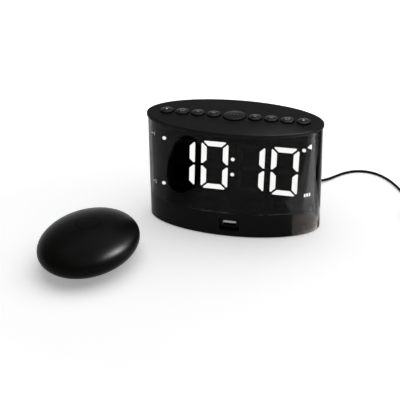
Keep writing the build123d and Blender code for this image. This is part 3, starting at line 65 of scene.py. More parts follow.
Material = bpy.types.Material
Mesh = bmesh.types.BMesh
Triple = tuple[float, float, float]
Pair = tuple[float, float]
Socket = bpy.types.NodeSocket
Feed = Union[Socket, float, tuple]
Feeds = dict[Union[str, int], Feed]


def linear(hex_colour: str) -> tuple[float, float, float, float]:
    """Turn an sRGB hex colour to linear light.

    Args:
        hex_colour: Six hex digits with a leading hash.

    Returns:
        Linear red, green, blue and an alpha of one.
    """
    parts = [int(hex_colour[i:i + 2], 16) / 255 for i in (1, 3, 5)]
    light = [c / 12.92 if c <= 0.04045 else ((c + 0.055) / 1.055) ** 2.4 for c in parts]
    return (*light, 1.0)


def per_metre(size_mm: float) -> float:
    """Texture scale whose features are about a size in millimetres."""
    return 1.0 / (size_mm * MM)


def link(thing: bpy.types.Object) -> None:
    """Put an object in the scene."""
    bpy.context.scene.collection.objects.link(thing)


class Nodes:
    """A node tree that is built up from nothing, with the steps that the finishes share."""

    def __init__(self, owner: Union[Material, bpy.types.World], kind: str = "Object") -> None:
        """Empty the tree and start it with the texture coordinates.

        Args:
            owner: New material or world.
            kind: Which of the coordinates it uses.
        """
        owner.use_nodes = True
        self.owner = owner
        self.tree = owner.node_tree
        self.tree.nodes.clear()
        self.place = self.add("ShaderNodeTexCoord").outputs[kind]

    def add(self, kind: str, feeds: Optional[Feeds] = None, **settings: object) -> bpy.types.Node:
        """Add one node with its settings and links.

        Args:
            kind: Blender's name of the node type.
            feeds: Value or output socket for each input socket, by name or number.
            **settings: Properties of the node itself.

        Returns:
            The new node.
        """
        made = self.tree.nodes.new(kind)
        for name, value in settings.items():
            setattr(made, name, value)
        for socket, value in (feeds or {}).items():
            if isinstance(value, Socket):
                self.tree.links.new(value, made.inputs[socket])
            else:
                made.inputs[socket].default_value = value
        return made

    def noise(self, size_mm: float, detail: float, **feeds: Feed) -> Socket:
        """Add a random pattern with features of about a size."""
        scale = {"Vector": self.place, "Scale": per_metre(size_mm), "Detail": detail}
        return self.add("ShaderNodeTexNoise", {**scale, **feeds}).outputs["Fac"]

    def tone(self, share: Socket, low: str, high: Union[str, Socket]) -> Socket:
        """Mix two colours by a share, and return the colour."""
        feeds = {"Factor": share, "A": linear(low), "B": linear(high) if isinstance(high, str) else high}
        return self.add("ShaderNodeMix", feeds, data_type="RGBA").outputs["Result"]

    def ramp(self, value: Socket, source: Pair, target: Pair, smooth: bool = False) -> Socket:
        """Map one range of a value to another.

        Args:
            value: Value to map, held to its range.
            source: Range that it comes from.
            target: Range that it goes to.
            smooth: Whether the change is eased at both ends.

        Returns:
            The mapped value.
        """
        feeds = {
            "Value": value, "From Min": source[0], "From Max": source[1],
            "To Min": target[0], "To Max": target[1],
        }
        way = "SMOOTHSTEP" if smooth else "LINEAR"
        return self.add("ShaderNodeMapRange", feeds, interpolation_type=way).outputs["Result"]

    def calc(self, operation: str, *values: Feed) -> Socket:
        """Do one sum on one or two values."""
        return self.add("ShaderNodeMath", dict(enumerate(values)), operation=operation).outputs["Value"]

    def rise(self) -> Socket:
        """Height in the coordinates."""
        return self.add("ShaderNodeSeparateXYZ", {"Vector": self.place}).outputs["Z"]

    def moved(self, **feeds: Feed) -> Socket:
        """Shift, turn or stretch the coordinates, and return them."""
        return self.add("ShaderNodeMapping", {"Vector": self.place, **feeds}).outputs["Vector"]

    def bump(self, height: Socket, strength: float, depth_mm: float) -> Socket:
        """Turn a height pattern to a bent normal, and return the normal."""
        feeds = {"Height": height, "Strength": strength, "Distance": depth_mm * MM}
        return self.add("ShaderNodeBump", feeds).outputs["Normal"]

    def close(self, feeds: Feeds) -> Material:
        """Join a Principled shader to the output.

        Args:
            feeds: Inputs of the shader.

        Returns:
            The finished material.
        """
        shader = self.add("ShaderNodeBsdfPrincipled", feeds)
        self.add("ShaderNodeOutputMaterial", {"Surface": shader.outputs["BSDF"]})
        return self.owner


@dataclass(frozen=True)
class MouldedPlastic:
    """Injection-moulded plastic: a spark-eroded grain breaks up the gloss, and the tone drifts a little.

    A groove height, where given, is the parting line that two moulded shells leave between them.
    """

    name: str
    colour: str
    drift_colour: str
    roughness: float
    grain_mm: float
    depth_mm: float
    specular: float
    gloss_drift: float = 0.05
    groove_z_mm: Optional[float] = None
    groove_width_mm: float = 0.5
    groove_depth: float = 3.0
    drift_mm: float = 14.0
    drift_detail: float = 3.0
    drift_range: Pair = (0.3, 0.7)
    grain_detail: float = 2.0
    grain_roughness: float = 0.6
    bump_strength: float = 0.6
    ior: float = 1.53

    def build(self) -> Material:
        """Make the material.

        Returns:
            The material.
        """
        nodes = Nodes(bpy.data.materials.new(self.name))
        drift = nodes.noise(self.drift_mm, self.drift_detail)
        grain = nodes.noise(self.grain_mm, self.grain_detail, Roughness=self.grain_roughness)
        low, high = self.roughness - self.gloss_drift, self.roughness + self.gloss_drift
        height = grain
        if self.groove_z_mm is not None:
            away = nodes.calc("ABSOLUTE", nodes.calc("SUBTRACT", nodes.rise(), self.groove_z_mm * MM))
            width = self.groove_width_mm * MM
            groove = nodes.ramp(away, (0.0, width), (-self.groove_depth, 0.0), smooth=True)
            height = nodes.calc("ADD", grain, groove)
        return nodes.close({
            "Base Color": nodes.tone(drift, self.colour, self.drift_colour),
            "Roughness": nodes.ramp(drift, self.drift_range, (low, high)),
            "IOR": self.ior, "Specular IOR Level": self.specular,
            "Normal": nodes.bump(height, self.bump_strength, self.depth_mm),
        })


@dataclass(frozen=True)
class SmokedAcrylic:
    """Polished smoked acrylic: dark but clear, with faint wipe marks in its gloss."""

    name: str = "smoked_acrylic_polished"
    tint: str = "#717171"
    ior: float = 1.18
    wipe_mm: float = 22.0
    wipe_detail: float = 4.0
    wipe_swirl: float = 0.8
    wipe_range: Pair = (0.35, 0.7)
    roughness: Pair = (0.003, 0.014)

    def build(self) -> Material:
        """Make the material.

        Returns:
            The material.
        """
        nodes = Nodes(bpy.data.materials.new(self.name))
        wipe = nodes.noise(self.wipe_mm, self.wipe_detail, Distortion=self.wipe_swirl)
        return nodes.close({
            "Base Color": linear(self.tint),
            "Roughness": nodes.ramp(wipe, self.wipe_range, self.roughness),
            "IOR": self.ior, "Transmission Weight": 1.0,
        })


@dataclass(frozen=True)
class Diffuser:
    """Milky polycarbonate or epoxy: even white when lit, with a slight hot spot over each chip."""

    name: str
    colour: str
    glow: str
    glow_dim: str
    strength: float
    spot_mm: float = 9.0
    spot_detail: float = 1.0
    roughness: float = 0.5
    ior: float = 1.58

    def build(self) -> Material:
        """Make the material.

        Returns:
            The material.
        """
        nodes = Nodes(bpy.data.materials.new(self.name))
        spot = nodes.noise(self.spot_mm, self.spot_detail)
        return nodes.close({
            "Base Color": linear(self.colour),
            "Roughness": self.roughness, "IOR": self.ior,
            "Emission Color": nodes.tone(spot, self.glow_dim, self.glow),
            "Emission Strength": self.strength,
        })


@dataclass(frozen=True)
class DrawnMetal:
    """Plated or drawn metal: fine lines along one axis stretch its highlights.

    A sleeve height, where given, is where a moulded insulating sleeve ends on a mains pin.
    """

    name: str
    colour: str
    dull_colour: str
    roughness: float
    line_mm: float = 0.6
    stretch: Triple = (1.0, 12.0, 1.0)
    sleeve_top_mm: Optional[float] = None
    sleeve_colour: str = "#101011"
    line_detail: float = 3.0
    line_range: Pair = (0.3, 0.7)
    roughness_rise: float = 0.08
    roughness_fall: float = 0.06

    def build(self) -> Material:
        """Make the material.

        Returns:
            The material.
        """
        nodes = Nodes(bpy.data.materials.new(self.name))
        drawn = nodes.moved(Scale=tuple(1 / s for s in self.stretch))
        lines = nodes.noise(self.line_mm, self.line_detail, Vector=drawn)
        tone = nodes.tone(lines, self.dull_colour, self.colour)
        bare: Feed = 1.0
        if self.sleeve_top_mm is not None:
            bare = nodes.calc("GREATER_THAN", nodes.rise(), self.sleeve_top_mm * MM)
            tone = nodes.tone(bare, self.sleeve_colour, tone)
        gloss = (self.roughness + self.roughness_rise, self.roughness - self.roughness_fall)
        return nodes.close({
            "Base Color": tone,
            "Roughness": nodes.ramp(lines, self.line_range, gloss),
            "Metallic": bare,
        })


@dataclass(frozen=True)
class CircuitBoard:
    """Glass-epoxy board under solder mask: straight traces show through as slightly lighter lines."""

    name: str = "glass_epoxy_solder_mask"
    mask: str = "#0f3a24"
    mask_dark: str = "#0a2c1b"
    trace: str = "#2b6a43"
    trace_mm: float = 1.6
    row_height: float = 0.25
    turn: Triple = (0.6, 0.0, math.radians(45))
    trace_width: float = 0.04
    trace_softness: float = 0.2
    trace_rise_mm: float = 0.04
    bump_strength: float = 0.4
    roughness: float = 0.32
    ior: float = 1.55

    def build(self) -> Material:
        """Make the material.

        Returns:
            The material.
        """
        nodes = Nodes(bpy.data.materials.new(self.name))
        turned = nodes.moved(Rotation=self.turn)
        traces = nodes.add("ShaderNodeTexBrick", {
            "Vector": turned, "Scale": per_metre(self.trace_mm / self.row_height),
            "Row Height": self.row_height,
            "Mortar Size": self.trace_width, "Mortar Smooth": self.trace_softness,
            "Color1": linear(self.mask), "Color2": linear(self.mask_dark), "Mortar": linear(self.trace),
        }).outputs
        return nodes.close({
            "Base Color": traces["Color"],
            "Roughness": self.roughness, "IOR": self.ior,
            "Normal": nodes.bump(traces["Fac"], self.bump_strength, self.trace_rise_mm),
        })


@dataclass(frozen=True)
class TurnedMetal:
    """Cast or turned metal: rings from the tool lie round its middle."""

    name: str
    colour: str
    dull_colour: str
    roughness: float
    metallic: float
    centre_mm: Triple
    ring_scale: float = per_metre(14.0)
    ring_distortion: float = 1.0
    ring_detail: float = 2.0
    ring_depth_mm: float = 0.05
    bump_strength: float = 0.3

    def build(self) -> Material:
        """Make the material.

        Returns:
            The material.
        """
        nodes = Nodes(bpy.data.materials.new(self.name))
        feeds = {
            "Vector": nodes.moved(Location=tuple(-c * MM for c in self.centre_mm)), "Scale": self.ring_scale,
            "Distortion": self.ring_distortion, "Detail": self.ring_detail,
        }
        wave = nodes.add("ShaderNodeTexWave", feeds, wave_type="RINGS", rings_direction="SPHERICAL")
        rings = wave.outputs["Fac"]
        return nodes.close({
            "Base Color": nodes.tone(rings, self.dull_colour, self.colour),
            "Roughness": self.roughness, "Metallic": self.metallic,
            "Normal": nodes.bump(rings, self.bump_strength, self.ring_depth_mm),
        })


@dataclass(frozen=True)
class SoftSkin:
    """Rubber, silicone, pulp, ink or extruded vinyl: a dull skin with a fine random texture."""

    name: str
    colour: str
    drift_colour: str
    roughness: float
    grain_mm: float = 0.5
    depth_mm: float = 0.01
    specular: float = 0.3
    gloss_drift: float = 0.1
    grain_detail: float = 4.0
    grain_roughness: float = 0.65
    bump_strength: float = 0.5
    ior: float = 1.5

    def build(self) -> Material:
        """Make the material.

        Returns:
            The material.
        """
        nodes = Nodes(bpy.data.materials.new(self.name))
        grain = nodes.noise(self.grain_mm, self.grain_detail, Roughness=self.grain_roughness)
        gloss = (self.roughness - self.gloss_drift, min(1.0, self.roughness + self.gloss_drift))
        return nodes.close({
            "Base Color": nodes.tone(grain, self.colour, self.drift_colour),
            "Roughness": nodes.ramp(grain, (0.0, 1.0), gloss),
            "IOR": self.ior, "Specular IOR Level": self.specular,
            "Normal": nodes.bump(grain, self.bump_strength, self.depth_mm),
        })


Finish = Union[MouldedPlastic, SmokedAcrylic, Diffuser, DrawnMetal, CircuitBoard, TurnedMetal, SoftSkin]

# The record's material slots come first, then the finishes that only the scene has. The spark grain is
# about 0.3 mm on real mouldings. Here it is drawn coarser, so that it shows in the render.
FINISHES: dict[str, Finish] = {
    "cover_plastic": MouldedPlastic(
        "abs_spark_textured_cover", "#131313", "#191919", roughness=0.55, gloss_drift=0.06,
        grain_mm=0.9, depth_mm=0.10, specular=0.05,
    ),
    "case_plastic": MouldedPlastic(
        "abs_satin_black_case", "#080808", "#0b0a0a", roughness=0.18, gloss_drift=0.03,
        grain_mm=0.6, depth_mm=0.01, specular=0.06,
    ),
    "smoked_acrylic": SmokedAcrylic(),
    "button_plastic": MouldedPlastic(
        "abs_button_caps", "#101010", "#151515", roughness=0.24, gloss_drift=0.04,
        grain_mm=0.5, depth_mm=0.02, specular=0.16,
    ),
    "pebble_plastic": MouldedPlastic(
        "abs_satin_black_pebble", "#0a0a0a", "#0d0d0c", roughness=0.32, gloss_drift=0.03,
        grain_mm=0.8, depth_mm=0.012, specular=0.03, groove_z_mm=18.0,
    ),
    "inner_plastic": MouldedPlastic(
        "abs_matte_black_inside", "#060606", "#090909", roughness=0.80,
        grain_mm=0.6, depth_mm=0.05, specular=0.01,
    ),
    "diffuser": Diffuser("polycarbonate_diffuser_lit", "#f4f4f2", "#ffffff", "#f4f3f0", strength=6.0),
    "dark_diffuser": Diffuser("polycarbonate_diffuser_dark", "#1a1a1b", "#000000", "#000000", strength=0.0),
    "circuit_board": CircuitBoard(),
    "chip": Diffuser("led_chip_epoxy", "#e8e4c8", "#ffffff", "#fff6d8", strength=1.0, spot_mm=2.0),
    "flat_cable": MouldedPlastic(
        "polyester_flat_cable", "#0d0d0d", "#121212", roughness=0.4,
        grain_mm=1.0, depth_mm=0.03, specular=0.2,
    ),
    "steel": DrawnMetal("steel_zinc_plated", "#b9bbbd", "#8d9093", roughness=0.3),
    "nickel": DrawnMetal("steel_nickel_plated", "#cfcbc2", "#a29e95", roughness=0.24),
    "white_plastic": MouldedPlastic(
        "nylon_white_moulded", "#efeee9", "#e3e1da", roughness=0.35,
        grain_mm=0.5, depth_mm=0.02, specular=0.5,
    ),
    "copper": DrawnMetal("copper_wire", "#b8734a", "#8e5431", roughness=0.35),
    "rubber": SoftSkin(
        "rubber_foot", "#101010", "#191919", roughness=0.85, grain_mm=0.7, depth_mm=0.06, specular=0.2
    ),
    "silicone": SoftSkin("silicone_keypad", "#3a3c40", "#45474b", roughness=0.7, depth_mm=0.03, specular=0.4),
    "paper_cone": SoftSkin(
        "pulp_paper_cone", "#26221e", "#352f29", roughness=0.95, grain_mm=0.8, depth_mm=0.10, specular=0.1
    ),
    "ferrite": TurnedMetal(
        "ferrite_magnet", "#3b3a39", "#2c2b2a", roughness=0.6, metallic=0.2, centre_mm=(0.0, 11.0, 60.0)
    ),
    "cell_steel": TurnedMetal(
        "coin_cell_steel", "#c3c4c3", "#a4a5a5", roughness=0.28, metallic=1.0, centre_mm=(-30.0, 0.0, 4.0)
    ),
    "brass_weight": TurnedMetal(
        "brass_turned_weight", "#b18d4f", "#8b6c38", roughness=0.35, metallic=1.0,
        centre_mm=(-101.9, -121.0, 16.0),
    ),
    "cord_jacket": SoftSkin(
        "vinyl_cord_jacket", "#080808", "#0d0d0d", roughness=0.45, grain_mm=1.2, depth_mm=0.03, specular=0.08
    ),
    "adapter_plastic": MouldedPlastic(
        "abs_adapter_case", "#121212", "#171717", roughness=0.5,
        grain_mm=0.8, depth_mm=0.08, specular=0.25,
    ),
    "lit_icon": Diffuser("polycarbonate_icon_lit", "#f4f4f2", "#ffffff", "#f4f3f0", strength=0.5),
    # Darkened metal for the outlet's shell, which shows dark.
    "darkened_shell_metal": DrawnMetal("steel_darkened_shell", "#2b2b2d", "#1b1b1d", roughness=0.3),
    "mains_pin": DrawnMetal(
        "brass_nickel_pin_with_sleeve", "#cfcbc2", "#a6a297", roughness=0.22, stretch=(1.0, 1.0, 10.0),
        sleeve_top_mm=42.0,
    ),
    "print_ink": SoftSkin("screen_print_ink_white", "#e6e6e4", "#d8d8d5", roughness=0.6),
    "dim_ink": SoftSkin("screen_print_ink_grey", "#757574", "#6a6a69", roughness=0.6),
    # Painted shade: a near-black skin for the flat crosses that stand in for the screw heads' shaded
    # recesses.
    "painted_recess_shade": SoftSkin("recess_in_shade", "#050505", "#080808", roughness=0.8, specular=0.1),
    "gold_contact": DrawnMetal("copper_gold_flash", "#d9b65c", "#b5923f", roughness=0.25, line_mm=0.4),
}


@dataclass
class Dresser:
    """Lays the finishes on the CAD nodes and on new pieces, each material made once."""

    made: dict[str, Material] = field(default_factory=dict)

    def material(self, finish: str) -> Material:
        """Make a finish's material at its first use, and return it."""
        if finish not in self.made:
            self.made[finish] = FINISHES[finish].build()
        return self.made[finish]

    def dress_node(self, node: str, finish: str) -> None:
        """Give a CAD node a finish's material."""
        slots = frame["nodes"][node].data.materials
        slots.clear()
        slots.append(self.material(finish))

    def dress_record(self) -> None:
        """Give every CAD node the finish of its slot in the record, or its own where it has one."""
        for subpart in frame["record"]["subparts"]:
            self.dress_node(subpart["node"], subpart["material_slot"])
        self.dress_node("adapter_pins", "mains_pin")
        # The outlet's shell gets darkened metal.
        self.dress_node("usb_shell", "darkened_shell_metal")

    def make(self, name: str, shape: Mesh, finish: str) -> bpy.types.Object:
        """Turn a finished bmesh into a piece that isn't on a body yet.

        Args:
            name: Name of the piece.
            shape: Mesh in metres, freed here.
            finish: Finish that the piece shows.

        Returns:
            The new object.
        """
        mesh = bpy.data.meshes.new(name)
        shape.to_mesh(mesh)
        shape.free()
        mesh.materials.append(self.material(finish))
        made = bpy.data.objects.new(name, mesh)
        link(made)
        LOG.info("%s: %d faces", name, len(mesh.polygons))
        return made

    def place(self, name: str, shape: Mesh, finish: str, body: str, slot: str) -> bpy.types.Object:
        """Turn a finished bmesh into a piece that rides on a body, and return it."""
        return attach(self.make(name, shape, finish), body)


@dataclass
class Cord:
    """Mains lead: one vinyl cord from the plug along the table, wound up out of sight, to the adapter."""

    radius: float = 1.25 * MM
    length: float = 1.47
    route: tuple[Triple, ...] = (
        (0.0400, 0.0490, 0.01400),
        (0.0400, 0.0670, 0.01400),
        (0.0635, 0.0779, 0.00125),
        (0.0892, 0.1144, 0.00125),
        (0.1202, 0.1101, 0.00125),
        (0.1475, 0.0667, 0.00180),
        (0.1475, 0.0422, 0.00180),
    )
    coil_centre: Triple = (0.166369, 0.039223, 0.0018)
    coil_outer: float = 18.875 * MM
    pitch: float = 3.0 * MM
    layers: int = 4
    layer_turns: float = 3.25
    climb_turns: float = 0.5
    points_per_turn: int = 24
    tail_end: Triple = (0.186274, 0.059219, 0.0108)
    bevel_steps: int = 3
    spline_steps: int = 6
    spline_order: int = 3
    rounding: float = 1e-9

    def coil_points(self) -> list[Triple]:
        """Wind the coil, which spirals in and out in layers with an eased climb between them.

        Returns:
            Spline points of the wound part.
        """
        start = math.pi - math.atan(self.pitch / (2 * math.pi * self.coil_outer))
        cycle = self.layer_turns + self.climb_turns
        total = self.layers * self.layer_turns + (self.layers - 1) * self.climb_turns
        steps = round(total * self.points_per_turn)
        inner = self.coil_outer - self.pitch * self.layer_turns
        x, y, z = self.coil_centre
        points = []
        for step in range(steps + 1):
            turn = step / self.points_per_turn
            layer = min(int(turn / cycle + self.rounding), self.layers - 1)
            along = turn - layer * cycle
            past = max(0.0, along - self.layer_turns)
            share = past / self.climb_turns
            inward = self.pitch * (min(along, self.layer_turns) + past - past**2 / self.climb_turns)
            radius = self.coil_outer - inward if layer % 2 == 0 else inner + inward
            rise = self.pitch * (layer + share**2 * (3 - 2 * share))
            angle = start + 2 * math.pi * turn
            points.append((x + radius * math.cos(angle), y + radius * math.sin(angle), z + rise))
        return points

    def build(self, dresser: Dresser) -> None:
        """Args:
            dresser: Lays the finish.
        """
        points = [*self.route, *self.coil_points(), self.tail_end]
        curve = bpy.data.curves.new("mains_cord", "CURVE")
        curve.dimensions = "3D"
        curve.bevel_depth = self.radius
        curve.bevel_resolution = self.bevel_steps
        curve.resolution_u = self.spline_steps
        curve.use_fill_caps = True
        spline = curve.splines.new("NURBS")
        spline.points.add(len(points) - 1)
        for point, place in zip(spline.points, points):
            point.co = (*place, 1.0)
        spline.order_u = self.spline_order
        spline.use_endpoint_u = True
        curve.materials.append(dresser.material("cord_jacket"))
        cord = bpy.data.objects.new("mains_cord", curve)
        link(cord)
        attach(cord, "clock")
        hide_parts("power_cord", "cord_coil", "cord_tail")
        LOG.info("mains_cord: %d points", len(points))


class Mark(Enum):
    """Plain printed marks, by their drawing."""

    DOT = "dot"
    BLOCK = "block"
    ARROW_UP = "arrow up"
    ARROW_DOWN = "arrow down"
    ARROW_LEFT = "arrow left"
    RING = "ring"
    ONE = "1"
    TWO = "2"


@dataclass(frozen=True)
class MarkPen:
    """Draws a mark as a flat mesh about the origin, facing +Z, with lengths as shares of its size."""

    figure_size: float = 1.4
    dot_segments: int = 24
    ring_segments: int = 32
    ring_stroke: float = 0.22
    block_width: float = 0.30
    arrow_radius: float = 0.58
    arrow_squash: float = 0.65
    arrow_cuts: int = 7

    def figure(self, shape: Mesh, mark: Mark, size: float) -> None:
        """Write a figure.

        Args:
            shape: Mesh that takes it.
            mark: Which figure.
            size: About its height in metres.
        """
        curve = bpy.data.curves.new("figure", "FONT")
        curve.body = mark.value
        curve.size = self.figure_size * size
        curve.align_x = "CENTER"
        curve.align_y = "CENTER"
        figure = bpy.data.objects.new("figure", curve)
        link(figure)
        bpy.context.view_layer.update()
        mesh = bpy.data.meshes.new_from_object(figure.evaluated_get(bpy.context.evaluated_depsgraph_get()))
        shape.from_mesh(mesh)
        bpy.data.objects.remove(figure)
        bpy.data.curves.remove(curve)
        bpy.data.meshes.remove(mesh)

    def draw(self, mark: Mark, size: float) -> Mesh:
        """Draw any mark.

        Args:
            mark: Which mark.
            size: Its height or width in metres.

        Returns:
            The mark's flat mesh.
        """
        shape = bmesh.new()
        if mark in (Mark.ONE, Mark.TWO):
            self.figure(shape, mark, size)
        elif mark is Mark.RING:
            stroke = self.ring_stroke * size
            bmesh.ops.create_circle(shape, cap_ends=True, segments=self.ring_segments, radius=size / 2)
            bmesh.ops.inset_region(shape, faces=shape.faces[:], thickness=stroke, use_boundary=True)
            middle = min(shape.faces, key=lambda f: f.calc_center_median().length)
            bmesh.ops.delete(shape, geom=[middle], context="FACES")
        elif mark is Mark.BLOCK:
            bmesh.ops.create_grid(shape, x_segments=2, y_segments=2, size=0.5)
            bmesh.ops.scale(shape, vec=(self.block_width * size, size, 1.0), verts=shape.verts)
        elif mark is Mark.DOT:
            bmesh.ops.create_circle(shape, cap_ends=True, segments=self.dot_segments, radius=size / 2)
        else:
            turn = {Mark.ARROW_UP: 0.0, Mark.ARROW_LEFT: math.pi / 2, Mark.ARROW_DOWN: math.pi}[mark]
            bmesh.ops.create_circle(shape, cap_ends=True, segments=3, radius=self.arrow_radius * size)
            bmesh.ops.subdivide_edges(shape, edges=shape.edges[:], cuts=self.arrow_cuts, use_grid_fill=True)
            bmesh.ops.scale(shape, vec=(1.0, self.arrow_squash, 1.0), verts=shape.verts)
            bmesh.ops.rotate(shape, verts=shape.verts, cent=(0, 0, 0), matrix=Matrix.Rotation(turn, 3, "Z"))
        bmesh.ops.recalc_face_normals(shape, faces=shape.faces[:])
        return shape


@dataclass
class ClockFront:
    """Smoked front of the clock: a polished shell, with small marks at the two ends of its window.

    Each mark: name, drawing, finish, place across and up the front, and size, in millimetres.
    """

    half_width: float = 76.0 * MM
    half_depth: float = 35.5 * MM
    wall: float = 2.4 * MM
    edge_y: float = -9.0 * MM
    low_z: float = 22.5 * MM
    tuck: float = 0.3 * MM
    tuck_inset: float = 0.03 * MM
    high_z: float = 94.5 * MM
    segments: int = 720
    weld: float = 1e-7
    sharp_angle: float = math.radians(30)
    ink: float = 0.04 * MM
    pen: MarkPen = MarkPen()
    marks: tuple[tuple[str, Mark, str, float, float, float], ...] = (
        ("alarm_one_arrow", Mark.ARROW_UP, "print_ink", -68.5, 83.0, 2.6),
        ("alarm_one_mark", Mark.ONE, "print_ink", -66.1, 83.1, 3.6),
        ("alarm_two_arrow", Mark.ARROW_UP, "print_ink", -68.8, 37.0, 2.6),
        ("alarm_two_mark", Mark.TWO, "print_ink", -66.3, 37.2, 3.6),
        ("afternoon_mark", Mark.ARROW_LEFT, "lit_icon", 68.0, 82.8, 5.0),
        ("level_mark_1", Mark.BLOCK, "lit_icon", 64.9, 38.2, 3.0),
        ("level_mark_2", Mark.BLOCK, "lit_icon", 66.7, 38.2, 3.0),
        ("level_mark_3", Mark.BLOCK, "lit_icon", 68.5, 38.2, 3.0),
    )

    def shell(self) -> Mesh:
        """Bridge two ovals, cut the ring at the joint with the rear housing and raise it.

        Its foot is tucked a little into the base, so that no light shows at the seam.

        Returns:
            The shell's mesh.
        """
        shape = bmesh.new()
        for inset in (0.0, self.wall):
            ring = bmesh.ops.create_circle(shape, cap_ends=False, segments=self.segments, radius=1.0)
            half_sizes = (self.half_width - inset, self.half_depth - inset, 1.0)
            bmesh.ops.scale(shape, vec=half_sizes, verts=ring["verts"])
        bmesh.ops.bridge_loops(shape, edges=shape.edges[:])
        bmesh.ops.bisect_plane(
            shape, geom=[*shape.verts, *shape.edges, *shape.faces], plane_co=(0, self.edge_y, 0),
            plane_no=(0, 1, 0), clear_outer=True,
        )
        foot = shape.verts[:]
        raised = bmesh.ops.extrude_face_region(shape, geom=shape.faces[:])
        lifted = [part for part in raised["geom"] if isinstance(part, bmesh.types.BMVert)]
        bmesh.ops.translate(shape, verts=lifted, vec=(0, 0, self.high_z))
        bmesh.ops.translate(shape, verts=foot, vec=(0, 0, self.low_z - self.tuck))
        share = 1 - self.tuck_inset / self.half_depth
        bmesh.ops.scale(shape, vec=(share, share, 1), verts=foot)
        bmesh.ops.remove_doubles(shape, verts=shape.verts, dist=self.weld)
        bmesh.ops.recalc_face_normals(shape, faces=shape.faces[:])
        for face in shape.faces:
            face.smooth = True
        for edge in shape.edges:
            edge.smooth = edge.calc_face_angle(0.0) < self.sharp_angle
        return shape

    def wrap(self, shape: Mesh, x_mm: float, z_mm: float) -> None:
        """Lay a flat mark on the oval front.

        Args:
            shape: Flat mark about the origin.
            x_mm: Place of its middle across the front.
            z_mm: Height of its middle.
        """
        for vert in shape.verts:
            x = x_mm * MM + vert.co.x
            z = z_mm * MM + vert.co.y
            y = -self.half_depth * math.sqrt(1 - (x / self.half_width) ** 2)
            out = Vector((x / self.half_width**2, y / self.half_depth**2, 0.0)).normalized()
            vert.co = Vector((x, y, z)) + out * self.ink

    def build(self, dresser: Dresser) -> None:
        """Make the shell and lay the marks on it.

        Args:
            dresser: Lays the finishes.
        """
        lens = dresser.place("front_lens_polished", self.shell(), "smoked_acrylic", "clock", "smoked_acrylic")
        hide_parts("front_lens")
        for name, mark, ink, x_mm, z_mm, size_mm in self.marks:
            shape = self.pen.draw(mark, size_mm * MM)
            self.wrap(shape, x_mm, z_mm)
            dresser.place(name, shape, ink, "clock", "white_plastic")


@dataclass(frozen=True)
class KeyRow:
    """Places of the eight small buttons, four on each side of the snooze button."""

    first_x: float = 18.0 * MM
    pitch: float = 13.8 * MM
    per_side: int = 4

    def places(self) -> Iterator[tuple[str, int, float]]:
        """Go through the buttons from the middle outwards, first on the left.

        Yields:
            The side's name, the button's number and its place across the cover.
        """
        for side, word in ((-1, "left"), (1, "right")):
            for number in range(1, self.per_side + 1):
                yield word, number, side * (self.first_x + (number - 1) * self.pitch)


@dataclass
class ButtonMarks:
    """Plain marks printed on the domed caps of the nine buttons."""

    row: KeyRow = KeyRow()
    pen: MarkPen = MarkPen()
    rim_z: float = 98.9 * MM
    dome_rise: float = 0.7 * MM
    small_radius: float = 5.65 * MM
    snooze_radius: float = 9.35 * MM
    ink: float = 0.03 * MM
    left_marks: tuple[Mark, ...] = (Mark.ARROW_UP, Mark.ARROW_DOWN, Mark.RING, Mark.DOT)
    right_marks: tuple[Mark, ...] = (Mark.ARROW_DOWN, Mark.ARROW_UP, Mark.RING, Mark.DOT)
    mark_size: float = 4.4 * MM
    end_mark_size: float = 1.8 * MM
    snooze_dots: tuple[float, ...] = (-2.6 * MM, 0.0, 2.6 * MM)
    snooze_dot_size: float = 0.9 * MM

    def lay(self, shape: Mesh, offset: float, radius: float, button_x: float) -> None:
        """Lay a flat mark on a button's dome.

        Args:
            shape: Flat mark about the origin.
            offset: Place of the mark across the button, from its middle.
            radius: Radius of the button's cap.
            button_x: Place of the button on the cover.
        """
        ball = (radius**2 + self.dome_rise**2) / (2 * self.dome_rise)
        for vert in shape.verts:
            x, y = offset + vert.co.x, vert.co.y
            drop = ball - math.sqrt(ball**2 - x**2 - y**2)
            vert.co = Vector((button_x + x, y, self.rim_z + self.dome_rise - drop + self.ink))

    def build(self, dresser: Dresser) -> None:
        """Print the marks of all nine buttons.

        Args:
            dresser: Lays the ink.
        """
        marks = {"left": self.left_marks, "right": self.right_marks}
        for word, number, button_x in self.row.places():
            at_end = number == self.row.per_side
            size = self.end_mark_size if at_end else self.mark_size
            shape = self.pen.draw(marks[word][number - 1], size)
            self.lay(shape, 0.0, self.small_radius, button_x)
            ink = "print_ink" if at_end else "dim_ink"
            dresser.place(f"{word}_mark_{number}", shape, ink, f"{word}_key_{number}", "white_plastic")
        for number, offset in enumerate(self.snooze_dots, start=1):
            shape = self.pen.draw(Mark.DOT, self.snooze_dot_size)
            self.lay(shape, offset, self.snooze_radius, 0.0)
            dresser.place(f"snooze_dot_{number}", shape, "dim_ink", "snooze_key", "white_plastic")


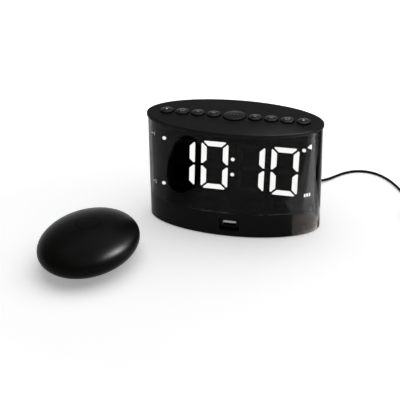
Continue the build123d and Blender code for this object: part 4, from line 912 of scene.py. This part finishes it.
@dataclass
class RubberDomes:
    """Rubber under the buttons: each dome is squeezed between its board and the button that presses it."""

    row: KeyRow = KeyRow()
    mat_top_z: float = 87.2 * MM
    dome_top_z: float = 90.0 * MM
    small_radius: float = 2.2 * MM
    snooze_radius: float = 3.2 * MM
    spread: float = 2.2 * MM
    shaker_foot: Triple = (-101.9 * MM, -99.6 * MM, 28.0 * MM)
    shaker_top_z: float = 30.2 * MM
    shaker_radii: Pair = (4.5 * MM, 2.5 * MM)
    seat: float = 0.02 * MM
    segments: int = 48

    def mat(self) -> Mesh:
        """Copy the CAD mat with its domes pressed flat.

        Returns:
            The mat's mesh.
        """
        shape = bmesh.new()
        shape.from_mesh(frame["nodes"]["key_mat"].data)
        bmesh.ops.remove_doubles(shape, verts=shape.verts, dist=WELD)
        for vert in shape.verts:
            vert.co.z = min(vert.co.z, self.mat_top_z)
        return shape

    def squeeze(
        self, dresser: Dresser, name: str, foot: Triple, top_z: float, radii: Pair,
        node: str,
    ) -> None:
        """Make one dome, a fixed cone from its foot up to its top.

        Args:
            dresser: Lays the finish.
            name: Name of the piece.
            foot: Middle of the dome's foot.
            top_z: Height of its top.
            radii: Radius of its foot and of its top.
            node: CAD node that it stands for.
        """
        low_z = foot[2] + self.seat
        shape = bmesh.new()
        bmesh.ops.create_cone(
            shape, cap_ends=True, segments=self.segments, radius1=radii[0], radius2=radii[1],
            depth=top_z - low_z,
        )
        bmesh.ops.translate(shape, verts=shape.verts, vec=(foot[0], foot[1], (low_z + top_z) / 2))
        dome = dresser.make(name, shape, "silicone")
        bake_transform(dome)
        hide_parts(node)

    def build(self, dresser: Dresser) -> None:
        """Make the mat, its nine domes and the shaker's dome.

        Args:
            dresser: Lays the finish.
        """
        mat = dresser.place("key_mat_sheet", self.mat(), "silicone", "clock", "silicone")
        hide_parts("key_mat")
        keys = [("snooze_key", 0.0, self.snooze_radius)]
        keys += [(f"{word}_key_{number}", x, self.small_radius) for word, number, x in self.row.places()]
        for key, x, radius in keys:
            self.squeeze(
                dresser, f"{key}_dome", (x, 0.0, self.mat_top_z), self.dome_top_z,
                (radius + self.spread, radius), "key_mat",
            )
        self.squeeze(
            dresser, "shaker_key_dome", self.shaker_foot, self.shaker_top_z, self.shaker_radii,
            "shaker_dome",
        )


@dataclass
class Fasteners:
    """Flat near-black crosses under the clock and the shaker: painted shade where the screw heads' cross
    recesses are.

    Each head: name, body, size and the middle of its face, in millimetres.
    """

    recess: float = 0.04 * MM
    arm_share: float = 0.14
    heads: tuple[tuple[str, str, float, Triple], ...] = (
        ("case_screw_recess_1", "clock", 3.4, (-65.0, 5.0, 1.0)),
        ("case_screw_recess_2", "clock", 3.4, (65.0, 5.0, 1.0)),
        ("case_screw_recess_3", "clock", 3.4, (-54.0, -17.95, 1.0)),
        ("case_screw_recess_4", "clock", 3.4, (54.0, -17.95, 1.0)),
        ("door_screw_recess", "clock", 2.6, (-45.0, 0.0, 0.8)),
        ("shaker_screw_recess_1", "shaker", 2.6, (-79.57, -114.47, 5.2)),
        ("shaker_screw_recess_2", "shaker", 2.6, (-76.60, -90.66, 5.2)),
        ("shaker_screw_recess_3", "shaker", 2.6, (-127.20, -108.54, 5.2)),
        ("shaker_screw_recess_4", "shaker", 2.6, (-124.23, -84.73, 5.2)),
    )

    def cross(self, size: float, place_mm: Triple) -> Mesh:
        """Draw a flat cross that faces down, from three by three cells without their corners.

        Args:
            size: Width of the cross in metres.
            place_mm: Middle of the screw head's face.

        Returns:
            The cross's mesh.
        """
        shape = bmesh.new()
        bmesh.ops.create_grid(shape, x_segments=3, y_segments=3, size=size / 2)
        arm = self.arm_share * size
        inner = size / 4
        for vert in shape.verts:
            for axis in (0, 1):
                if abs(vert.co[axis]) < inner:
                    vert.co[axis] = math.copysign(arm, vert.co[axis])
        middles = [(f, f.calc_center_median()) for f in shape.faces]
        corners = [f for f, middle in middles if abs(middle.x) > arm and abs(middle.y) > arm]
        bmesh.ops.delete(shape, geom=corners, context="FACES")
        bmesh.ops.reverse_faces(shape, faces=shape.faces[:])
        x, y, z = (c * MM for c in place_mm)
        bmesh.ops.translate(shape, verts=shape.verts, vec=(x, y, z - self.recess))
        return shape

    def build(self, dresser: Dresser) -> None:
        """Lay a cross of painted shade on each screw head under the clock and the shaker."""
        for name, body, size_mm, place_mm in self.heads:
            # The cross is painted shade where the screw's recess is.
            dresser.place(name, self.cross(size_mm * MM, place_mm), "painted_recess_shade", body, "steel")


@dataclass
class PowerPlug:
    """Plug at the back of the base: ribs moulded round its strain relief for grip."""

    axis_x: float = 40.0 * MM
    axis_z: float = 14.0 * MM
    grip_end_y: float = 40.0 * MM
    tail_end_y: float = 49.0 * MM
    grip_radius: float = 4.7 * MM
    tail_radius: float = 2.1 * MM
    rib_count: int = 5
    rib_radius: float = 0.45 * MM
    rib_segments: int = 10
    ring_steps: int = 40
    lead_in: float = 0.6

    def rib(self, y: float, radius: float) -> Mesh:
        """Spin a small round section about the plug's axis.

        Args:
            y: Place of the rib along the axis.
            radius: Radius of the ring.

        Returns:
            The ring's mesh.
        """
        shape = bmesh.new()
        bmesh.ops.create_circle(shape, segments=self.rib_segments, radius=self.rib_radius)
        bmesh.ops.translate(shape, verts=shape.verts, vec=(radius, 0, 0))
        bmesh.ops.spin(
            shape, geom=shape.edges[:], cent=(0, 0, 0), axis=(0, 1, 0), dvec=(0, 0, 0),
            angle=2 * math.pi, steps=self.ring_steps, use_merge=True,
        )
        bmesh.ops.remove_doubles(shape, verts=shape.verts, dist=WELD)
        bmesh.ops.recalc_face_normals(shape, faces=shape.faces[:])
        bmesh.ops.translate(shape, verts=shape.verts, vec=(self.axis_x, y, self.axis_z))
        for face in shape.faces:
            face.smooth = True
        return shape

    def build(self, dresser: Dresser) -> None:
        """Add the ribs along the taper.

        Args:
            dresser: Lays the finish.
        """
        for number in range(self.rib_count):
            share = (number + self.lead_in) / (self.rib_count + self.lead_in)
            y = self.grip_end_y + share * (self.tail_end_y - self.grip_end_y)
            radius = self.grip_radius + share * (self.tail_radius - self.grip_radius)
            shape = self.rib(y, radius)
            dresser.place(f"plug_rib_{number + 1}", shape, "adapter_plastic", "clock", "adapter_plastic")


@dataclass
class ChargingOutlet:
    """Charging outlet in the front of the base: four gilded contacts under its white tongue."""

    count: int = 4
    middle_x: float = 2.4 * MM
    tongue_under_z: float = 11.55 * MM
    front_y: float = -30.5 * MM
    length: float = 7.5 * MM
    spacing: float = 2.4 * MM
    width: float = 1.1 * MM
    thickness: float = 0.12 * MM
    edge: float = 0.04 * MM
    edge_segments: int = 2

    def build(self, dresser: Dresser) -> None:
        """Add the contacts.

        Args:
            dresser: Lays the finish.
        """
        for number in range(self.count):
            shape = bmesh.new()
            bmesh.ops.create_cube(shape, size=1.0)
            bmesh.ops.scale(shape, vec=(self.width, self.length, self.thickness), verts=shape.verts)
            bmesh.ops.bevel(
                shape, geom=shape.edges[:], offset=self.edge, segments=self.edge_segments, profile=0.5,
                affect="EDGES", material=-1,
            )
            x = self.middle_x + (number - (self.count - 1) / 2) * self.spacing
            place = (x, self.front_y + self.length / 2, self.tongue_under_z - self.thickness / 2)
            bmesh.ops.translate(shape, verts=shape.verts, vec=place)
            dresser.place(f"outlet_contact_{number + 1}", shape, "gold_contact", "clock", "copper")


@dataclass(frozen=True)
class Lamp:
    """Soft rectangular light: sides in metres, power in watts, roll and full beam angle in degrees.

    A light that is gloss_only shows in glossy surfaces and lights nothing else.
    """

    name: str
    place: Triple
    aim: Triple
    sides: Pair
    power: float
    roll: float = 0.0
    spread: float = 180.0
    gloss_only: bool = False
    colour: str = "#ffffff"

    def hang(self) -> None:
        """Add the light to the scene."""
        light = bpy.data.lights.new(self.name, "AREA")
        light.shape = "RECTANGLE"
        light.size, light.size_y = self.sides
        light.energy = self.power
        light.spread = math.radians(self.spread)
        light.color = linear(self.colour)[:3]
        lamp = bpy.data.objects.new(self.name, light)
        lamp.visible_diffuse = not self.gloss_only
        lamp.visible_transmission = not self.gloss_only
        lamp.location = self.place
        facing = (Vector(self.aim) - Vector(self.place)).to_track_quat("-Z", "Y")
        lamp.rotation_euler = (facing @ Quaternion((0, 0, 1), math.radians(self.roll))).to_euler()
        link(lamp)


@dataclass(frozen=True)
class LightCard:
    """Light card on the table: its edges in metres, its turn in degrees, its radiance and its colour."""

    name: str
    left: float
    right: float
    front: float
    back: float
    turn: float
    radiance: float
    colour: str
    height: float = 1.0 * MM

    def lamp(self) -> Lamp:
        """Turn the card to a lamp that faces up.

        Returns:
            The lamp.
        """
        x, y, z = (self.left + self.right) / 2, (self.front + self.back) / 2, self.height
        sides = (self.right - self.left, self.back - self.front)
        power = math.pi * self.radiance * sides[0] * sides[1]
        return Lamp(
            self.name, (x, y, z), (x, y, z + 1), sides, power, self.turn, gloss_only=True, colour=self.colour
        )


@dataclass
class Studio:
    """Plain pale table, white surroundings, soft lights and the camera.

    The cards show in the right end of the clock, and the strip makes the shaker's highlight.
    """

    camera_place: Triple = (0.196041, -0.913363, 0.509899)
    camera_turn: Triple = (62.2036, 0.7519, 13.5815)
    lens_mm: float = 107.744
    sensor_mm: float = 36.0
    floor_half: float = 4.0
    floor_drop: float = 0.05 * MM
    floor_colour: str = "#fafafa"
    # Painted shade: the glow that seen rays get from the table is weaker near floor_middle, so the floor is
    # greyer round the objects.
    painted_halo_lift: Pair = (0.28, 0.80)
    floor_reach: Pair = (0.17, 0.36)
    floor_middle: Triple = (-0.04, -0.06, 0.0)
    cove_range: Pair = (0.10, 0.30)
    cove_light: Pair = (1.0, 0.28)
    lamps: tuple[Lamp, ...] = (
        Lamp("overhead_soft", place=(0.45, 0.35, 1.8), aim=(0.0, 0.0, 0.05), sides=(3.2, 3.2), power=38.0),
        Lamp(
            "right_strip", place=(0.067, -0.053, 0.151), aim=(-0.071, -0.123, 0.025), sides=(0.0484, 0.12),
            power=0.22, roll=35.0, spread=44.0, gloss_only=True,
        ),
    )
    cards: tuple[LightCard, ...] = (
        LightCard("near_card_1", 0.064, 0.100, -0.043, -0.007, 45.0, 5.5, "#fff0e2"),
        LightCard("near_card_2", 0.068, 0.104, -0.039, -0.003, 45.0, 5.5, "#fff0e2"),
        LightCard("near_card_3", 0.072, 0.108, -0.035, 0.001, 45.0, 5.5, "#fff0e2"),
        LightCard("far_card", 0.100, 0.300, -0.045, 0.004, 0.0, 9.0, "#ffffff"),
        LightCard("wide_card", 0.084, 0.330, -0.080, 0.030, 0.0, 2.5, "#ffffff"),
    )

    def floor_material(self) -> Material:
        """Make a matte white whose added glow for seen rays is weak near the object and strong away from it:
        the floor keeps the shadows and has painted shade round the object, and turns pure white further out.

        Returns:
            The table's material.
        """
        nodes = Nodes(bpy.data.materials.new("matte_white_table"))
        pale = nodes.add("ShaderNodeBsdfDiffuse", {"Color": linear(self.floor_colour)})
        spots = {0: nodes.place, 1: self.floor_middle}
        away = nodes.add("ShaderNodeVectorMath", spots, operation="DISTANCE").outputs["Value"]
        # Painted shade: less glow near the objects than far from them.
        white = nodes.ramp(away, self.floor_reach, self.painted_halo_lift, smooth=True)
        path = nodes.add("ShaderNodeLightPath").outputs
        shown = nodes.calc("MAXIMUM", path["Is Camera Ray"], path["Is Glossy Ray"])
        seen = nodes.calc("MAXIMUM", shown, path["Is Transmission Ray"])
        glow = nodes.add("ShaderNodeEmission", {"Strength": nodes.calc("MULTIPLY", seen, white)})
        both = nodes.add("ShaderNodeAddShader", {0: pale.outputs["BSDF"], 1: glow.outputs["Emission"]})
        nodes.add("ShaderNodeOutputMaterial", {"Surface": both.outputs["Shader"]})
        return nodes.owner

    def build_floor(self) -> None:
        """Lay the table."""
        shape = bmesh.new()
        bmesh.ops.create_grid(shape, x_segments=2, y_segments=2, size=self.floor_half)
        bmesh.ops.translate(shape, verts=shape.verts, vec=(0, 0, -self.floor_drop))
        mesh = bpy.data.meshes.new("table")
        shape.to_mesh(mesh)
        shape.free()
        mesh.materials.append(self.floor_material())
        table = bpy.data.objects.new("table", mesh)
        link(table)

    def build_world(self) -> None:
        """Make a white cove round the table, which turns into a dim ceiling higher up."""
        world = bpy.data.worlds.new("white_studio")
        nodes = Nodes(world, "Generated")
        strength = nodes.ramp(nodes.rise(), self.cove_range, self.cove_light, smooth=True)
        back = nodes.add("ShaderNodeBackground", {"Strength": strength})
        nodes.add("ShaderNodeOutputWorld", {"Surface": back.outputs["Background"]})
        bpy.context.scene.world = world

    def build_camera(self) -> None:
        """Set the camera at the photograph's viewing angle."""
        data = bpy.data.cameras.new("camera")
        data.lens = self.lens_mm
        data.sensor_width = self.sensor_mm
        camera = bpy.data.objects.new("camera", data)
        camera.location = self.camera_place
        camera.rotation_euler = [math.radians(a) for a in self.camera_turn]
        link(camera)
        bpy.context.scene.camera = camera

    def build(self) -> None:
        """Set up the whole studio."""
        self.build_floor()
        self.build_world()
        for lamp in (*self.lamps, *(card.lamp() for card in self.cards)):
            lamp.hang()
        self.build_camera()
        bpy.context.scene.view_settings.view_transform = "Standard"


def main() -> None:
    """Build the whole scene in order."""
    logging.basicConfig(level=logging.INFO, format="%(name)s %(message)s")
    dresser = Dresser()
    Studio().build()
    Cord().build(dresser)
    dresser.dress_record()
    for assembly in (ClockFront(), ButtonMarks(), RubberDomes(), Fasteners(), PowerPlug(), ChargingOutlet()):
        assembly.build(dresser)


if __name__ == "__main__":
    main()
